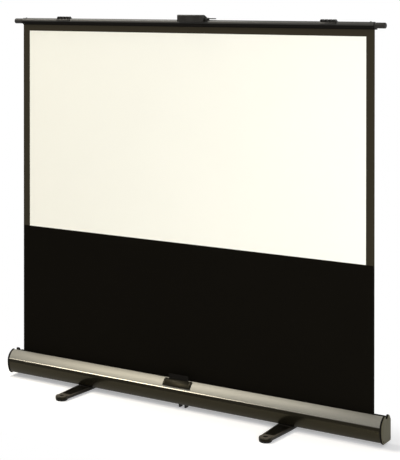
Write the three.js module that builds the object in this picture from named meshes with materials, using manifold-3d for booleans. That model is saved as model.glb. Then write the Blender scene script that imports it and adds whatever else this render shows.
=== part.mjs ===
// A floor-standing projector screen that pulls up out of its case on folding arms.
// Millimetres. X runs along the screen, the viewer's side is -Y, and Z is up from the floor.
import * as THREE from "three";
import { mergeVertices } from "three/addons/utils/BufferGeometryUtils.js";
import Module from "manifold-3d";

const wasm = await Module();
wasm.setup();

// Overall sizes
const FABRIC_WIDTH = 1848;
const BAR_TRAVEL = 1622; // from the bar's seat on the case to its raised place
const CASE_OVERHANG = 47; // case past the fabric at each end
const CASE_DEPTH = 98;
const CASE_BOTTOM = 22;

// Fits
const REST_GAP = 0.3; // between pieces that touch
const RUN_GAP = 0.5; // between pieces that slide or turn
const CUT_OVERRUN = 5; // how far a cutter passes its faces
const MERGE_TOLERANCE = 1e-4;

// How finely curves are cut into flats
const BAR_SIDES = 28;
const DISC_SIDES = 24;
const PIN_SIDES = 12;
const ARC_STEPS = 10;
const CORNER_STEPS = 3;

// Case section: a shoulder arc over an elliptical belly, with an upright rear wall
const CASE_WALL = 2;
const SHOULDER_RADIUS = 49;
const SHOULDER_RISE = 56; // shoulder's centre above the case's underside
const BELLY_HALF_DEPTH = 29;
const BELLY_HALF_HEIGHT = 62;
const REAR_CORNER_RADIUS = 5;
const SEAM_RISE = 10; // seam of cover and body above the shoulder's centre
const TONGUE_HEIGHT = 7;
const TONGUE_THICKNESS = 0.9;
const PORT_SIZE = 6.4; // corner block that a cap screw bites into
const PORT_HOLE_RADIUS = 1.8;

// Front cover
const COVER_PROUD = 0.6;
const BEAD_PROUD = 1.2;
const BEAD_WIDTH = 4;
const COVER_LIP_DEPTH = 14;
const COVER_TO_BAR = 2;
const FELT_THICKNESS = 1.4;
const FELT_HEIGHT = 7;
const FELT_INSET = 12; // felt short of the case's ends

// Fabric and roller
const FABRIC_Y = 8;
const FABRIC_THICKNESS = 0.6;
const ROLLER_RISE = 52; // roller's axis above the case's underside
const TUBE_RADIUS = 18.5;
const TUBE_WALL = 1.5;
const WRAP_THICKNESS = 1;
const ROLLER_OVERHANG = 6; // tube past the fabric at each end
const PLUG_SPIGOT = 25;
const PLUG_FLANGE = 3;
const AXLE_RADIUS = 4;
const AXLE_GRIP = 8; // axle inside the end cap's boss
const IDLE_AXLE_INSIDE = 30;
const SHAFT_INSIDE = 370; // spring shaft inside the tube
const COLLAR_RADIUS = 11;
const COLLAR_LENGTH = 8;
const SPRING_RADIUS = 10;
const SPRING_WIRE = 1;
const SPRING_TURNS = 18;
const SPRING_STEPS = 8;
const SPRING_SIDES = 4;

// End caps
const CAP_THICKNESS = 9;
const CAP_PROUD = 2;
const CAP_DROP = 7; // cap below the case's underside
const BOSS_RADIUS = 9;
const BOSS_DEPTH = 14;
const HORN_TOP = 2; // horn's tip above the bar's seat line
const HORN_INNER = 6;
const HORN_OUTER = 15;
const HORN_SHOULDER = 10;
const TAB_DEPTH = 16;
const TAB_HEIGHT = 30;
const SCREW_RADIUS = 1.5;
const SCREW_LENGTH = 14;
const SCREW_HEAD_RADIUS = 3.4;
const SCREW_HEAD_HEIGHT = 1.8;

// Catch for the bar, over the cover at mid-length
const CATCH_X = -14;
const CATCH_WIDTH = 142;
const CATCH_THICKNESS = 5;
const CATCH_RISE = 14; // catch's lower edge above the seam
const CATCH_TOP_Y = -21;
const TONGUE_WIDTH = 104;
const TONGUE_PLATE = 2.5;
const TONGUE_RISE = 24; // tongue above the case's top

// Support under the middle of the case
const SUPPORT_SPACING = 30;
const SUPPORT_LEG = 5;
const SUPPORT_DEPTH = 30;
const SUPPORT_PLATE = 3;
const SUPPORT_LENGTH = 54;
const SUPPORT_LIFT = 0.8;

// Swivelling feet
const FOOT_X = 530;
const FOOT_REACH = 214; // pivot to pad centre
const FOOT_THICKNESS = 12;
const FOOT_TO_CASE = 3.2; // the raised rings pass under the case with a little room
const FOOT_HALF_WIDTH = 38;
const FOOT_TIP_HALF_WIDTH = 28.8;
const FOOT_WIDE_REACH = 36;
const FOOT_BEVEL = 1.5;
const PAD_RADIUS = 29;
const PAD_BOSS_RISE = 2.6;
const PAD_RECESS_RADIUS = 14;
const PAD_RECESS_DEPTH = 4;
const RUBBER_INSET = 1.5;
const RUBBER_CHAMFER = 2;
const PAD_SCREW_RADIUS = 3;
const PAD_SCREW_HEAD_RADIUS = 7;
const PAD_SCREW_HEAD_HEIGHT = 2.4;
const PAD_SCREW_STOP = 3;
const PIVOT_RADIUS = 6;
const PIVOT_BOSS_RADIUS = 22;
const PIVOT_HEAD_RADIUS = 11;
const PIVOT_HEAD_HEIGHT = 3;
const PIVOT_RECESS_RADIUS = 13;
const PIVOT_RECESS_DEPTH = 5;

// Rails that the sliding shoes run in
const RAIL_Y = 27;
const RAIL_WIDTH = 12;
const RAIL_HEIGHT = 4.6;
const RAIL_WALL = 2;
const RAIL_LIP = 3;
const RAIL_LIP_THICKNESS = 1.6;

// Folding arms: two stages of two crossed arms each
const ARM_SPREAD = 1390; // between the pivots of one arm, raised
const ARM_LEFT_X = -720;
const ARM_WIDTH = 20;
const ARM_THICKNESS = 5.5;
const ARM_GAP = 1;
const ARM_PLANE_Y = 30; // between the front and the rear arms
const LOWER_PIVOT_RISE = 20; // above the case's inner floor
const UPPER_PIVOT_DROP = 21; // below the bar's flange
const RIVET_RADIUS = 3;
const RIVET_HEAD_RADIUS = 6;
const RIVET_HEAD_HEIGHT = 2.2;
const EAR_THICKNESS = 3.5;
const EAR_WIDTH = 18;
const SHOE_LENGTH = 32;
const SHOE_NECK = 5;
const BRIDGE_THICKNESS = 2.6;

// Top bar: a slit tube with a keel for the fabric and a rear flange
const BAR_RADIUS = 15;
const BAR_WALL = 3;
const BAR_SEAT_RISE = 104; // bar's centre above the case's underside, closed
const KEEL_REACH = 2; // keel below the bar's round
const KEEL_HALF_WIDTH = 5;
const SLIT_HALF_WIDTH = 0.7;
const FLANGE_DROP = 10;
const FLANGE_THICKNESS = 2;
const SPLINE_RADIUS = 2.5;
const PLUG_STEP = 2.5; // end plugs slimmer than the bar
const PLUG_REACH = 50;
const PLUG_INSIDE = 30;
const PLUG_ROUNDING = 5;
const PLUG_SCREW_INSET = 18;
const PLUG_SCREW_RADIUS = 1.8;
const PLUG_SCREW_HEAD_RADIUS = 4;
const PLUG_SCREW_HEAD_HEIGHT = 2;
const PLUG_SCREW_DEPTH = 8;

// Saddles on the bar, over the ends of the arms
const SADDLE_X = 695;
const SADDLE_SHIFT = 20; // both saddles and the handle sit a little to the right
const SADDLE_LENGTH = 75;
const SADDLE_THICKNESS = 3;
const SADDLE_FRONT_RISE = 3; // front edge above the bar's centre
const SADDLE_LEG_THICKNESS = 4;
const SADDLE_KNUCKLES = 4;
const KNUCKLE_RADIUS = 7;
const KNUCKLE_RISE = 2; // knuckle's centre above the bar's top
const KNUCKLE_FRONT = 15; // from the bar's centre plane
const KNUCKLE_REAR = 9;

// Carrying handle
const HANDLE_X = 42.5;
const HANDLE_LENGTH = 135;
const HANDLE_RISE = 23; // grip's top above the bar's top
const HANDLE_SINK = 5; // grip's lower edge below the bar's top
const GRIP_REACH = 12; // grip's face before the bar's front
const GRIP_DEPTH = 13;
const GRIP_CHAMFER = 3;
const LEG_THICKNESS = 9;
const LEG_TOP_DEPTH = 4;
const LEG_CLEARANCE = 3; // legs above the bar's top
const HANDLE_PIVOT_REACH = 12; // pin behind the bar's rear
const HANDLE_PIVOT_SINK = 2; // pin below the bar's top
const HANDLE_EYE_RADIUS = 7;
const HANDLE_PIN_RADIUS = 2.5;
const HANDLE_EAR_THICKNESS = 6;
const BASE_FRONT_INSET = 2; // base behind the bar's front
const BASE_THICKNESS = 2.4;
const BASE_REAR_SINK = 7; // base's rear shelf below the bar's top
const BASE_WAIST_REACH = 4;
const GRIP_GROOVES = 5;
const GROOVE_PLACE_SHARE = 0.25; // each set of grooves from the grip's middle
const GROOVE_WIDTH = 3;
const GROOVE_DEPTH = 0.8;

// Release lever, beside the handle
const LEVER_GAP = 2; // handle to lever mount
const LEVER_MOUNT_LENGTH = 14;
const LEVER_LENGTH = 44;
const LEVER_HALF_WIDTH = 8.5;
const LEVER_TIP_HALF_WIDTH = 5;
const LEVER_THICKNESS = 2.4;
const LEVER_PIVOT_RISE = 5.6; // above the bar's top
const LEVER_BARREL_RADIUS = 2.6;
const LEVER_PIN_RADIUS = 1.4;
const LEVER_EAR_THICKNESS = 2.6;
const LEVER_EAR_RADIUS = 4.2;

// Places worked out from the sizes
const CASE_HALF = FABRIC_WIDTH / 2 + CASE_OVERHANG;
const CASE_FRONT = -CASE_DEPTH / 2;
const CASE_REAR = CASE_DEPTH / 2;
const CASE_FLOOR = CASE_BOTTOM + CASE_WALL;
const SHOULDER_Y = CASE_FRONT + SHOULDER_RADIUS;
const SHOULDER_Z = CASE_BOTTOM + SHOULDER_RISE;
const BAR_SEAT_Z = CASE_BOTTOM + BAR_SEAT_RISE;
const BAR_Z = BAR_SEAT_Z + BAR_TRAVEL;
const KEEL_DROP = BAR_RADIUS + KEEL_REACH;
const PLUG_RADIUS = BAR_RADIUS - PLUG_STEP;
const FLANGE_UNDERSIDE = FLANGE_DROP + FLANGE_THICKNESS; // below the bar's centre
const REAR_WALL_TOP = BAR_SEAT_Z - FLANGE_UNDERSIDE - REST_GAP;
const COVER_REAR_Y = FABRIC_Y - BAR_RADIUS - COVER_TO_BAR;
const ROLLER_Z = CASE_BOTTOM + ROLLER_RISE;
const ROLL_RADIUS = TUBE_RADIUS + REST_GAP / 2 + WRAP_THICKNESS;
const ROLLER_Y = FABRIC_Y - FABRIC_THICKNESS / 2 - REST_GAP - ROLL_RADIUS;
const TUBE_HALF = FABRIC_WIDTH / 2 + ROLLER_OVERHANG;
const FRONT_ARM_Y = ARM_PLANE_Y - ARM_GAP / 2 - ARM_THICKNESS / 2;
const REAR_ARM_Y = ARM_PLANE_Y + ARM_GAP / 2 + ARM_THICKNESS / 2;
const LOWER_PIVOT_Z = CASE_FLOOR + LOWER_PIVOT_RISE;
const UPPER_PIVOT_Z = BAR_Z - FLANGE_UNDERSIDE - UPPER_PIVOT_DROP;
const STAGE_RISE = (UPPER_PIVOT_Z - LOWER_PIVOT_Z) / 2;
const ARM_LENGTH = Math.hypot(ARM_SPREAD, STAGE_RISE);
const ARM_ANGLE = Math.atan2(STAGE_RISE, ARM_SPREAD);
const ARM_RIGHT_X = ARM_LEFT_X + ARM_SPREAD;
const ELBOW_Z = LOWER_PIVOT_Z + STAGE_RISE;
const MIDDLE_X = (ARM_LEFT_X + ARM_RIGHT_X) / 2;
const RIVET_HOLE_RADIUS = RIVET_RADIUS + REST_GAP;
const FOOT_TOP = CASE_BOTTOM - FOOT_TO_CASE;
const FOOT_UNDERSIDE = FOOT_TOP - FOOT_THICKNESS;
const QUARTER_TURN = Math.PI / 2;
const KNUCKLE_Z = BAR_RADIUS + KNUCKLE_RISE;
const HANDLE_TOP = BAR_RADIUS + HANDLE_RISE;
const HANDLE_BOTTOM = BAR_RADIUS - HANDLE_SINK;
const GRIP_FRONT = -BAR_RADIUS - GRIP_REACH;
const GRIP_BACK = GRIP_FRONT + GRIP_DEPTH;
const LEG_TOP_BACK = GRIP_BACK + LEG_TOP_DEPTH;
const LEG_UNDERSIDE = BAR_RADIUS + LEG_CLEARANCE;
const HANDLE_PIVOT_Y = BAR_RADIUS + HANDLE_PIVOT_REACH;
const HANDLE_PIVOT_Z = BAR_RADIUS - HANDLE_PIVOT_SINK;
const BASE_FRONT = -BAR_RADIUS + BASE_FRONT_INSET;
const BASE_TOP = BAR_RADIUS + BASE_THICKNESS;
const BASE_REAR = HANDLE_PIVOT_Y + HANDLE_EYE_RADIUS;
const BASE_REAR_TOP = BAR_RADIUS - BASE_REAR_SINK;
const BASE_WAIST = BAR_RADIUS + BASE_WAIST_REACH;
const LEVER_PIVOT_Z = BAR_RADIUS + LEVER_PIVOT_RISE;

// Finishes
function finish(color, roughness, metalness) {
  return new THREE.MeshStandardMaterial({ color, roughness, metalness });
}
const brushedSilver = finish(0xb9b6ab, 0.35, 0.9);
const blackAnodised = finish(0x1d1b17, 0.35, 0.5);
const blackPlastic = finish(0x24231f, 0.5, 0);
const greyPlastic = finish(0x55564c, 0.55, 0);
const blackCloth = finish(0x0f0d08, 0.9, 0);
const blackRubber = finish(0x141410, 0.8, 0);
const plainSteel = finish(0x9a9a96, 0.4, 0.9);
const armAluminium = finish(0x8e8e8a, 0.4, 0.8);

// Solids and shapes
function solidFrom(geometry) {
  const bare = geometry.index ? geometry.toNonIndexed() : geometry.clone();
  bare.deleteAttribute("normal");
  bare.deleteAttribute("uv");
  const merged = mergeVertices(bare, MERGE_TOLERANCE);
  return new wasm.Manifold(
    new wasm.Mesh({
      numProp: 3,
      vertProperties: new Float32Array(merged.attributes.position.array),
      triVerts: new Uint32Array(merged.index.array),
    }),
  );
}

function geometryFrom(solid) {
  const mesh = solid.getMesh();
  const geometry = new THREE.BufferGeometry();
  geometry.setAttribute("position", new THREE.BufferAttribute(mesh.vertProperties, mesh.numProp));
  geometry.setIndex(new THREE.BufferAttribute(mesh.triVerts, 1));
  geometry.computeVertexNormals();
  return geometry;
}

function joined(first, ...others) {
  return others.reduce((whole, other) => whole.add(other), first);
}

function cutFrom(whole, ...cutters) {
  return cutters.reduce((left, cutter) => left.subtract(cutter), whole);
}

function shapeOf(points, holes = []) {
  const shape = new THREE.Shape(points.map(([a, b]) => new THREE.Vector2(a, b)));
  shape.holes = holes.map((hole) => new THREE.Path(hole.map(([a, b]) => new THREE.Vector2(a, b))));
  return shape;
}

// Each turns a flat outline into a prism: its points are (y, z), (x, z) and (x, y).
function prismAlongX(points, from, to, holes) {
  const geometry = new THREE.ExtrudeGeometry(shapeOf(points, holes), { depth: to - from, bevelEnabled: false });
  const turn = new THREE.Matrix4().makeBasis(
    new THREE.Vector3(0, 1, 0),
    new THREE.Vector3(0, 0, 1),
    new THREE.Vector3(1, 0, 0),
  );
  return solidFrom(geometry.applyMatrix4(turn).translate(from, 0, 0));
}

function prismAlongY(points, from, to, holes) {
  const geometry = new THREE.ExtrudeGeometry(shapeOf(points, holes), { depth: to - from, bevelEnabled: false });
  return solidFrom(geometry.rotateX(QUARTER_TURN).translate(0, to, 0));
}

function prismUp(points, from, to, bevel = 0) {
  const geometry = new THREE.ExtrudeGeometry(shapeOf(points), {
    depth: to - from - 2 * bevel,
    bevelEnabled: bevel > 0,
    bevelThickness: bevel,
    bevelSize: bevel,
    bevelOffset: -bevel,
    bevelSegments: 1,
  });
  return solidFrom(geometry.translate(0, 0, from + bevel));
}

function block(x0, x1, y0, y1, z0, z1) {
  const geometry = new THREE.BoxGeometry(x1 - x0, y1 - y0, z1 - z0);
  return solidFrom(geometry.translate((x0 + x1) / 2, (y0 + y1) / 2, (z0 + z1) / 2));
}

// Points are (radius, distance along the axis), and the profile starts and ends on the axis.
function turned(points, sides, axis = "y") {
  const geometry = new THREE.LatheGeometry(points.map(([r, h]) => new THREE.Vector2(r, h)), sides);
  if (axis === "x") geometry.rotateZ(-QUARTER_TURN);
  if (axis === "z") geometry.rotateX(QUARTER_TURN);
  return solidFrom(geometry);
}

function rod(radius, from, to, sides, axis) {
  return turned([[0, from], [radius, from], [radius, to], [0, to]], sides, axis);
}

function pipe(outer, inner, from, to, sides, axis) {
  return cutFrom(
    rod(outer, from, to, sides, axis),
    rod(inner, from - CUT_OVERRUN, to + CUT_OVERRUN, sides, axis),
  );
}

function circlePoints(radius, a, b, sides) {
  return arcPoints(radius, radius, a, b, 0, 2 * Math.PI, sides).slice(0, -1);
}

function arcPoints(radiusA, radiusB, a, b, from, to, steps) {
  return Array.from({ length: steps + 1 }, (_, i) => {
    const angle = from + ((to - from) * i) / steps;
    return [a + radiusA * Math.cos(angle), b + radiusB * Math.sin(angle)];
  });
}

function piece(name, solid, material) {
  const mesh = new THREE.Mesh(geometryFrom(solid), material);
  mesh.name = name;
  return mesh;
}

function placed(group, x, y, z) {
  group.position.set(x, y, z);
  return group;
}

function groupOf(...children) {
  return new THREE.Group().add(...children);
}

// Case outline: angles on the shoulder run from 0 at the front to a quarter turn at the top.
function shoulderPoints(radius, from, to, steps = ARC_STEPS) {
  return arcPoints(-radius, radius, SHOULDER_Y, SHOULDER_Z, from, to, steps);
}

// The belly runs down from the shoulder's front to the height given, offset outwards.
function bellyPoints(offset, bottom) {
  const halfHeight = BELLY_HALF_HEIGHT + offset;
  const end = Math.asin((SHOULDER_Z - bottom) / halfHeight);
  const middle = CASE_FRONT + BELLY_HALF_DEPTH;
  return arcPoints(-BELLY_HALF_DEPTH - offset, -halfHeight, middle, SHOULDER_Z, 0, end, ARC_STEPS);
}

function bellyFoot() {
  return bellyPoints(0, CASE_BOTTOM).at(-1)[0];
}

// A lipped channel along X, drawn from its rear to its front wall. The way is 1 up or -1 down.
function railPoints(middle, base, way) {
  const half = RAIL_WIDTH / 2;
  const lipFoot = base + way * RAIL_HEIGHT;
  const top = lipFoot + way * RAIL_LIP_THICKNESS;
  const rear = [
    [middle + half + RAIL_WALL, base],
    [middle + half + RAIL_WALL, top],
    [middle + half - RAIL_LIP, top],
    [middle + half - RAIL_LIP, lipFoot],
    [middle + half, lipFoot],
    [middle + half, base],
  ];
  const front = rear.map(([y, z]) => [2 * middle - y, z]).reverse();
  return [...rear, ...front];
}

function portCentres() {
  const height = CASE_FLOOR + PORT_SIZE / 2;
  return [
    [CASE_REAR - CASE_WALL - PORT_SIZE / 2, height],
    [bellyFoot() + PORT_SIZE / 2, height],
  ];
}

// Lower body of the case, an open-topped extrusion with the lower rail on its floor
function caseBody() {
  const seam = Math.asin(SEAM_RISE / SHOULDER_RADIUS);
  const tongueTop = Math.asin((SEAM_RISE + TONGUE_HEIGHT) / SHOULDER_RADIUS);
  const inner = SHOULDER_RADIUS - CASE_WALL;
  const portTop = CASE_FLOOR + PORT_SIZE;
  const rearInside = CASE_REAR - CASE_WALL;
  const frontPortEnd = bellyFoot() + PORT_SIZE;
  const outline = [
    ...shoulderPoints(SHOULDER_RADIUS, seam, 0, 2).slice(0, -1),
    ...bellyPoints(0, CASE_BOTTOM),
    ...arcPoints(
      REAR_CORNER_RADIUS,
      REAR_CORNER_RADIUS,
      CASE_REAR - REAR_CORNER_RADIUS,
      CASE_BOTTOM + REAR_CORNER_RADIUS,
      -QUARTER_TURN,
      0,
      CORNER_STEPS,
    ),
    [CASE_REAR, REAR_WALL_TOP],
    [rearInside, REAR_WALL_TOP],
    [rearInside, portTop],
    [rearInside - PORT_SIZE, portTop],
    [rearInside - PORT_SIZE, CASE_FLOOR],
    ...railPoints(RAIL_Y, CASE_FLOOR, 1),
    [frontPortEnd, CASE_FLOOR],
    [frontPortEnd, portTop],
    ...bellyPoints(-CASE_WALL, portTop).reverse(),
    ...shoulderPoints(inner, 0, tongueTop, 3).slice(1),
    ...shoulderPoints(inner + TONGUE_THICKNESS, tongueTop, seam, 2),
  ];
  const ports = portCentres().map(([y, z]) => circlePoints(PORT_HOLE_RADIUS, y, z, PIN_SIDES));
  const body = prismAlongX(outline, -CASE_HALF, CASE_HALF, ports);
  const pivotHoles = [-FOOT_X, FOOT_X].map((x) =>
    rod(
      PIVOT_RADIUS + REST_GAP,
      CASE_BOTTOM - CUT_OVERRUN,
      CASE_FLOOR + CUT_OVERRUN,
      PIN_SIDES,
      "z",
    ).translate(x, 0, 0),
  );
  return piece("case_body", cutFrom(body, ...pivotHoles), blackAnodised);
}

// Curved front cover, hooked over the body's tongue, with a bead along its lower edge
function frontCover() {
  const outer = SHOULDER_RADIUS + COVER_PROUD;
  const inner = SHOULDER_RADIUS - CASE_WALL;
  const lap = inner + TONGUE_THICKNESS + REST_GAP;
  const seam = Math.asin((SEAM_RISE + REST_GAP) / SHOULDER_RADIUS);
  const tongueTop = Math.asin((SEAM_RISE + TONGUE_HEIGHT + REST_GAP) / SHOULDER_RADIUS);
  const bead = BEAD_WIDTH / outer;
  const outerEnd = Math.acos((SHOULDER_Y - COVER_REAR_Y) / outer);
  const innerEnd = Math.acos((SHOULDER_Y - COVER_REAR_Y + CASE_WALL) / inner);
  const lipBottom = SHOULDER_Z + outer - COVER_LIP_DEPTH;
  const outline = [
    ...shoulderPoints(outer + BEAD_PROUD, seam, seam + bead / 2, 2),
    ...shoulderPoints(outer, seam + bead, outerEnd, ARC_STEPS + CORNER_STEPS),
    [COVER_REAR_Y, lipBottom],
    [COVER_REAR_Y - CASE_WALL, lipBottom],
    ...shoulderPoints(inner, innerEnd, tongueTop, ARC_STEPS),
    ...shoulderPoints(lap, tongueTop, seam, 2),
  ];
  return piece("front_cover", prismAlongX(outline, -CASE_HALF, CASE_HALF), brushedSilver);
}

// Felt strip on the cover's inner lip, which keeps dust off the roll
function slotFelt() {
  const lipBottom = SHOULDER_Z + SHOULDER_RADIUS + COVER_PROUD - COVER_LIP_DEPTH;
  const half = CASE_HALF - FELT_INSET;
  const felt = block(
    -half,
    half,
    COVER_REAR_Y + REST_GAP,
    COVER_REAR_Y + REST_GAP + FELT_THICKNESS,
    lipBottom,
    lipBottom + FELT_HEIGHT,
  );
  return piece("slot_felt", felt, blackCloth);
}

// Catch block over the cover, with the tongue that the handle's front closes against
function barCatch() {
  const inner = SHOULDER_RADIUS + COVER_PROUD + REST_GAP;
  const outer = inner + CATCH_THICKNESS;
  const lowest = Math.asin((SEAM_RISE + CATCH_RISE) / inner);
  const highest = Math.acos((SHOULDER_Y - CATCH_TOP_Y) / outer);
  const half = CATCH_WIDTH / 2;
  const outline = [
    ...shoulderPoints(outer, lowest, highest),
    ...shoulderPoints(inner, highest, lowest),
  ];
  const footZ = SHOULDER_Z + inner * Math.sin(highest);
  const tongue = block(
    -TONGUE_WIDTH / 2,
    TONGUE_WIDTH / 2,
    CATCH_TOP_Y - TONGUE_PLATE,
    CATCH_TOP_Y,
    footZ + CATCH_THICKNESS / 2,
    SHOULDER_Z + SHOULDER_RADIUS + TONGUE_RISE,
  );
  const solid = joined(prismAlongX(outline, -half, half), tongue);
  return placed(piece("bar_catch", solid, blackPlastic), CATCH_X, 0, 0);
}

// End cap outline: the case's, a little proud, with a round notch that the bar's end rests in
function capOutline() {
  const radius = SHOULDER_RADIUS + CAP_PROUD;
  const notch = PLUG_RADIUS + RUN_GAP;
  const bottom = CASE_BOTTOM - CAP_DROP;
  const rear = CASE_REAR + CAP_PROUD;
  const corner = REAR_CORNER_RADIUS + CAP_PROUD;
  const topEnd = Math.acos((SHOULDER_Y - FABRIC_Y + notch) / radius);
  const hornFoot = FABRIC_Y + notch;
  return [
    ...shoulderPoints(radius, topEnd, 0).slice(0, -1),
    ...bellyPoints(CAP_PROUD, bottom),
    ...arcPoints(corner, corner, rear - corner, bottom + corner, -QUARTER_TURN, 0, CORNER_STEPS),
    [rear, REAR_WALL_TOP - HORN_SHOULDER],
    [hornFoot + HORN_OUTER, BAR_SEAT_Z - CAP_PROUD],
    [hornFoot + HORN_INNER, BAR_SEAT_Z + HORN_TOP],
    [hornFoot, BAR_SEAT_Z],
    ...arcPoints(notch, notch, FABRIC_Y, BAR_SEAT_Z, 0, -Math.PI, ARC_STEPS).slice(1),
  ];
}

function endCap(name, side) {
  const face = side * CASE_HALF;
  const back = side * (CASE_HALF + CAP_THICKNESS);
  const plate = prismAlongX(capOutline(), Math.min(face, back), Math.max(face, back));
  const bossEnd = side * (CASE_HALF - BOSS_DEPTH);
  const boss = rod(
    BOSS_RADIUS,
    Math.min(bossEnd, back),
    Math.max(bossEnd, back),
    DISC_SIDES,
    "x",
  ).translate(0, ROLLER_Y, ROLLER_Z);
  const bearing = rod(
    AXLE_RADIUS + REST_GAP,
    Math.min(bossEnd, face) - (side < 0 ? 0 : CUT_OVERRUN),
    Math.max(bossEnd, face) + (side < 0 ? CUT_OVERRUN : 0),
    PIN_SIDES,
    "x",
  ).translate(0, ROLLER_Y, ROLLER_Z);
  const tabEnd = side * (CASE_HALF - TAB_DEPTH);
  const tabRear = CASE_REAR - CASE_WALL - REST_GAP;
  const tab = block(
    Math.min(tabEnd, back),
    Math.max(tabEnd, back),
    tabRear - CASE_WALL,
    tabRear,
    ROLLER_Z - TAB_HEIGHT / 2,
    ROLLER_Z + TAB_HEIGHT / 2,
  );
  const recesses = portCentres().flatMap(([y, z]) => [
    rod(SCREW_RADIUS + REST_GAP, -CUT_OVERRUN, CAP_THICKNESS + CUT_OVERRUN, PIN_SIDES, "x"),
    rod(
      SCREW_HEAD_RADIUS + REST_GAP,
      CAP_THICKNESS - SCREW_HEAD_HEIGHT - REST_GAP,
      CAP_THICKNESS + CUT_OVERRUN,
      PIN_SIDES,
      "x",
    ),
  ].map((cutter) => cutter.scale([side, 1, 1]).translate(face, y, z)));
  return piece(name, cutFrom(joined(plate, boss, tab), bearing, ...recesses), greyPlastic);
}

// A pan-headed screw with its head's underside at zero, pointing down its axis
function screwProfile(radius, length, headRadius, headHeight) {
  return [
    [0, -length],
    [radius, -length],
    [radius, 0],
    [headRadius, 0],
    [headRadius, headHeight / 2],
    [headRadius - headHeight / 2, headHeight],
    [0, headHeight],
  ];
}

function capScrews() {
  const profile = screwProfile(SCREW_RADIUS, SCREW_LENGTH, SCREW_HEAD_RADIUS, SCREW_HEAD_HEIGHT);
  const seat = CASE_HALF + CAP_THICKNESS - SCREW_HEAD_HEIGHT;
  const places = portCentres();
  const ends = [["left", -1], ["right", 1]];
  return ends.flatMap(([end, side]) =>
    ["rear", "front"].map((place, i) => {
      const solid = turned(profile, PIN_SIDES, "x").scale([side, 1, 1]);
      return placed(piece(`cap_screw_${end}_${place}`, solid, blackAnodised), side * seat, ...places[i]);
    }),
  );
}

// Two thin legs under the middle of the case
function centreSupport() {
  const top = CASE_BOTTOM - REST_GAP;
  const half = SUPPORT_DEPTH / 2;
  const plate = block(-SUPPORT_LENGTH / 2, SUPPORT_LENGTH / 2, -half, half, top - SUPPORT_PLATE, top);
  const legs = [-1, 1].map((side) =>
    block(
      (side * SUPPORT_SPACING - SUPPORT_LEG) / 2,
      (side * SUPPORT_SPACING + SUPPORT_LEG) / 2,
      -half,
      half,
      SUPPORT_LIFT,
      top - SUPPORT_PLATE / 2,
    ),
  );
  return piece("centre_support", joined(plate, ...legs), blackPlastic);
}

// Roller: a tube on two plugs, wound by a torsion spring on a fixed shaft
function rollerTube() {
  const inner = TUBE_RADIUS - TUBE_WALL;
  return piece("roller_tube", pipe(TUBE_RADIUS, inner, -TUBE_HALF, TUBE_HALF, DISC_SIDES, "x"), armAluminium);
}

function fabricWraps() {
  const half = FABRIC_WIDTH / 2;
  const inner = TUBE_RADIUS + REST_GAP / 2;
  return piece("fabric_wraps", pipe(ROLL_RADIUS, inner, -half, half, DISC_SIDES, "x"), blackCloth);
}

function rollerPlug(name, side) {
  const spigot = TUBE_RADIUS - TUBE_WALL - REST_GAP;
  const plug = turned(
    [
      [0, TUBE_HALF - PLUG_SPIGOT],
      [spigot, TUBE_HALF - PLUG_SPIGOT],
      [spigot, TUBE_HALF + REST_GAP],
      [TUBE_RADIUS, TUBE_HALF + REST_GAP],
      [TUBE_RADIUS, TUBE_HALF + PLUG_FLANGE],
      [0, TUBE_HALF + PLUG_FLANGE],
    ],
    DISC_SIDES,
    "x",
  );
  const bore = rod(AXLE_RADIUS + REST_GAP, 0, TUBE_HALF + PLUG_FLANGE + CUT_OVERRUN, PIN_SIDES, "x");
  return piece(name, cutFrom(plug, bore).scale([side, 1, 1]), blackPlastic);
}

function idleAxle() {
  const from = TUBE_HALF - IDLE_AXLE_INSIDE;
  const to = CASE_HALF - BOSS_DEPTH + AXLE_GRIP;
  return piece("idle_axle", rod(AXLE_RADIUS, from, to, PIN_SIDES, "x"), plainSteel);
}

function springShaft() {
  const end = -(CASE_HALF - BOSS_DEPTH + AXLE_GRIP);
  const inside = -TUBE_HALF + SHAFT_INSIDE;
  const shaft = rod(AXLE_RADIUS, end, inside, PIN_SIDES, "x");
  const collar = rod(COLLAR_RADIUS, inside - COLLAR_LENGTH, inside, DISC_SIDES, "x");
  return piece("spring_shaft", joined(shaft, collar), plainSteel);
}

// The spring's coil runs from the left plug to the shaft's collar.
class SpringPath extends THREE.Curve {
  getPoint(t, target = new THREE.Vector3()) {
    const from = -TUBE_HALF + PLUG_SPIGOT + REST_GAP + SPRING_WIRE;
    const to = -TUBE_HALF + SHAFT_INSIDE - COLLAR_LENGTH - REST_GAP - SPRING_WIRE;
    const angle = 2 * Math.PI * SPRING_TURNS * t;
    return target.set(
      from + (to - from) * t,
      SPRING_RADIUS * Math.cos(angle),
      SPRING_RADIUS * Math.sin(angle),
    );
  }
}

function torsionSpring() {
  const geometry = new THREE.ExtrudeGeometry(shapeOf(circlePoints(SPRING_WIRE, 0, 0, SPRING_SIDES)), {
    steps: SPRING_TURNS * SPRING_STEPS,
    extrudePath: new SpringPath(),
    bevelEnabled: false,
  });
  return piece("torsion_spring", solidFrom(geometry), plainSteel);
}

// One taut sheet from the roller's rear side to the slit in the bar's keel
function projectionFabric() {
  const half = FABRIC_WIDTH / 2;
  const top = BAR_Z - BAR_RADIUS + BAR_WALL - REST_GAP / 2;
  const sheet = block(
    -half,
    half,
    FABRIC_Y - FABRIC_THICKNESS / 2,
    FABRIC_Y + FABRIC_THICKNESS / 2,
    ROLLER_Z,
    top,
  );
  return piece("projection_fabric", sheet, blackCloth);
}

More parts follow.
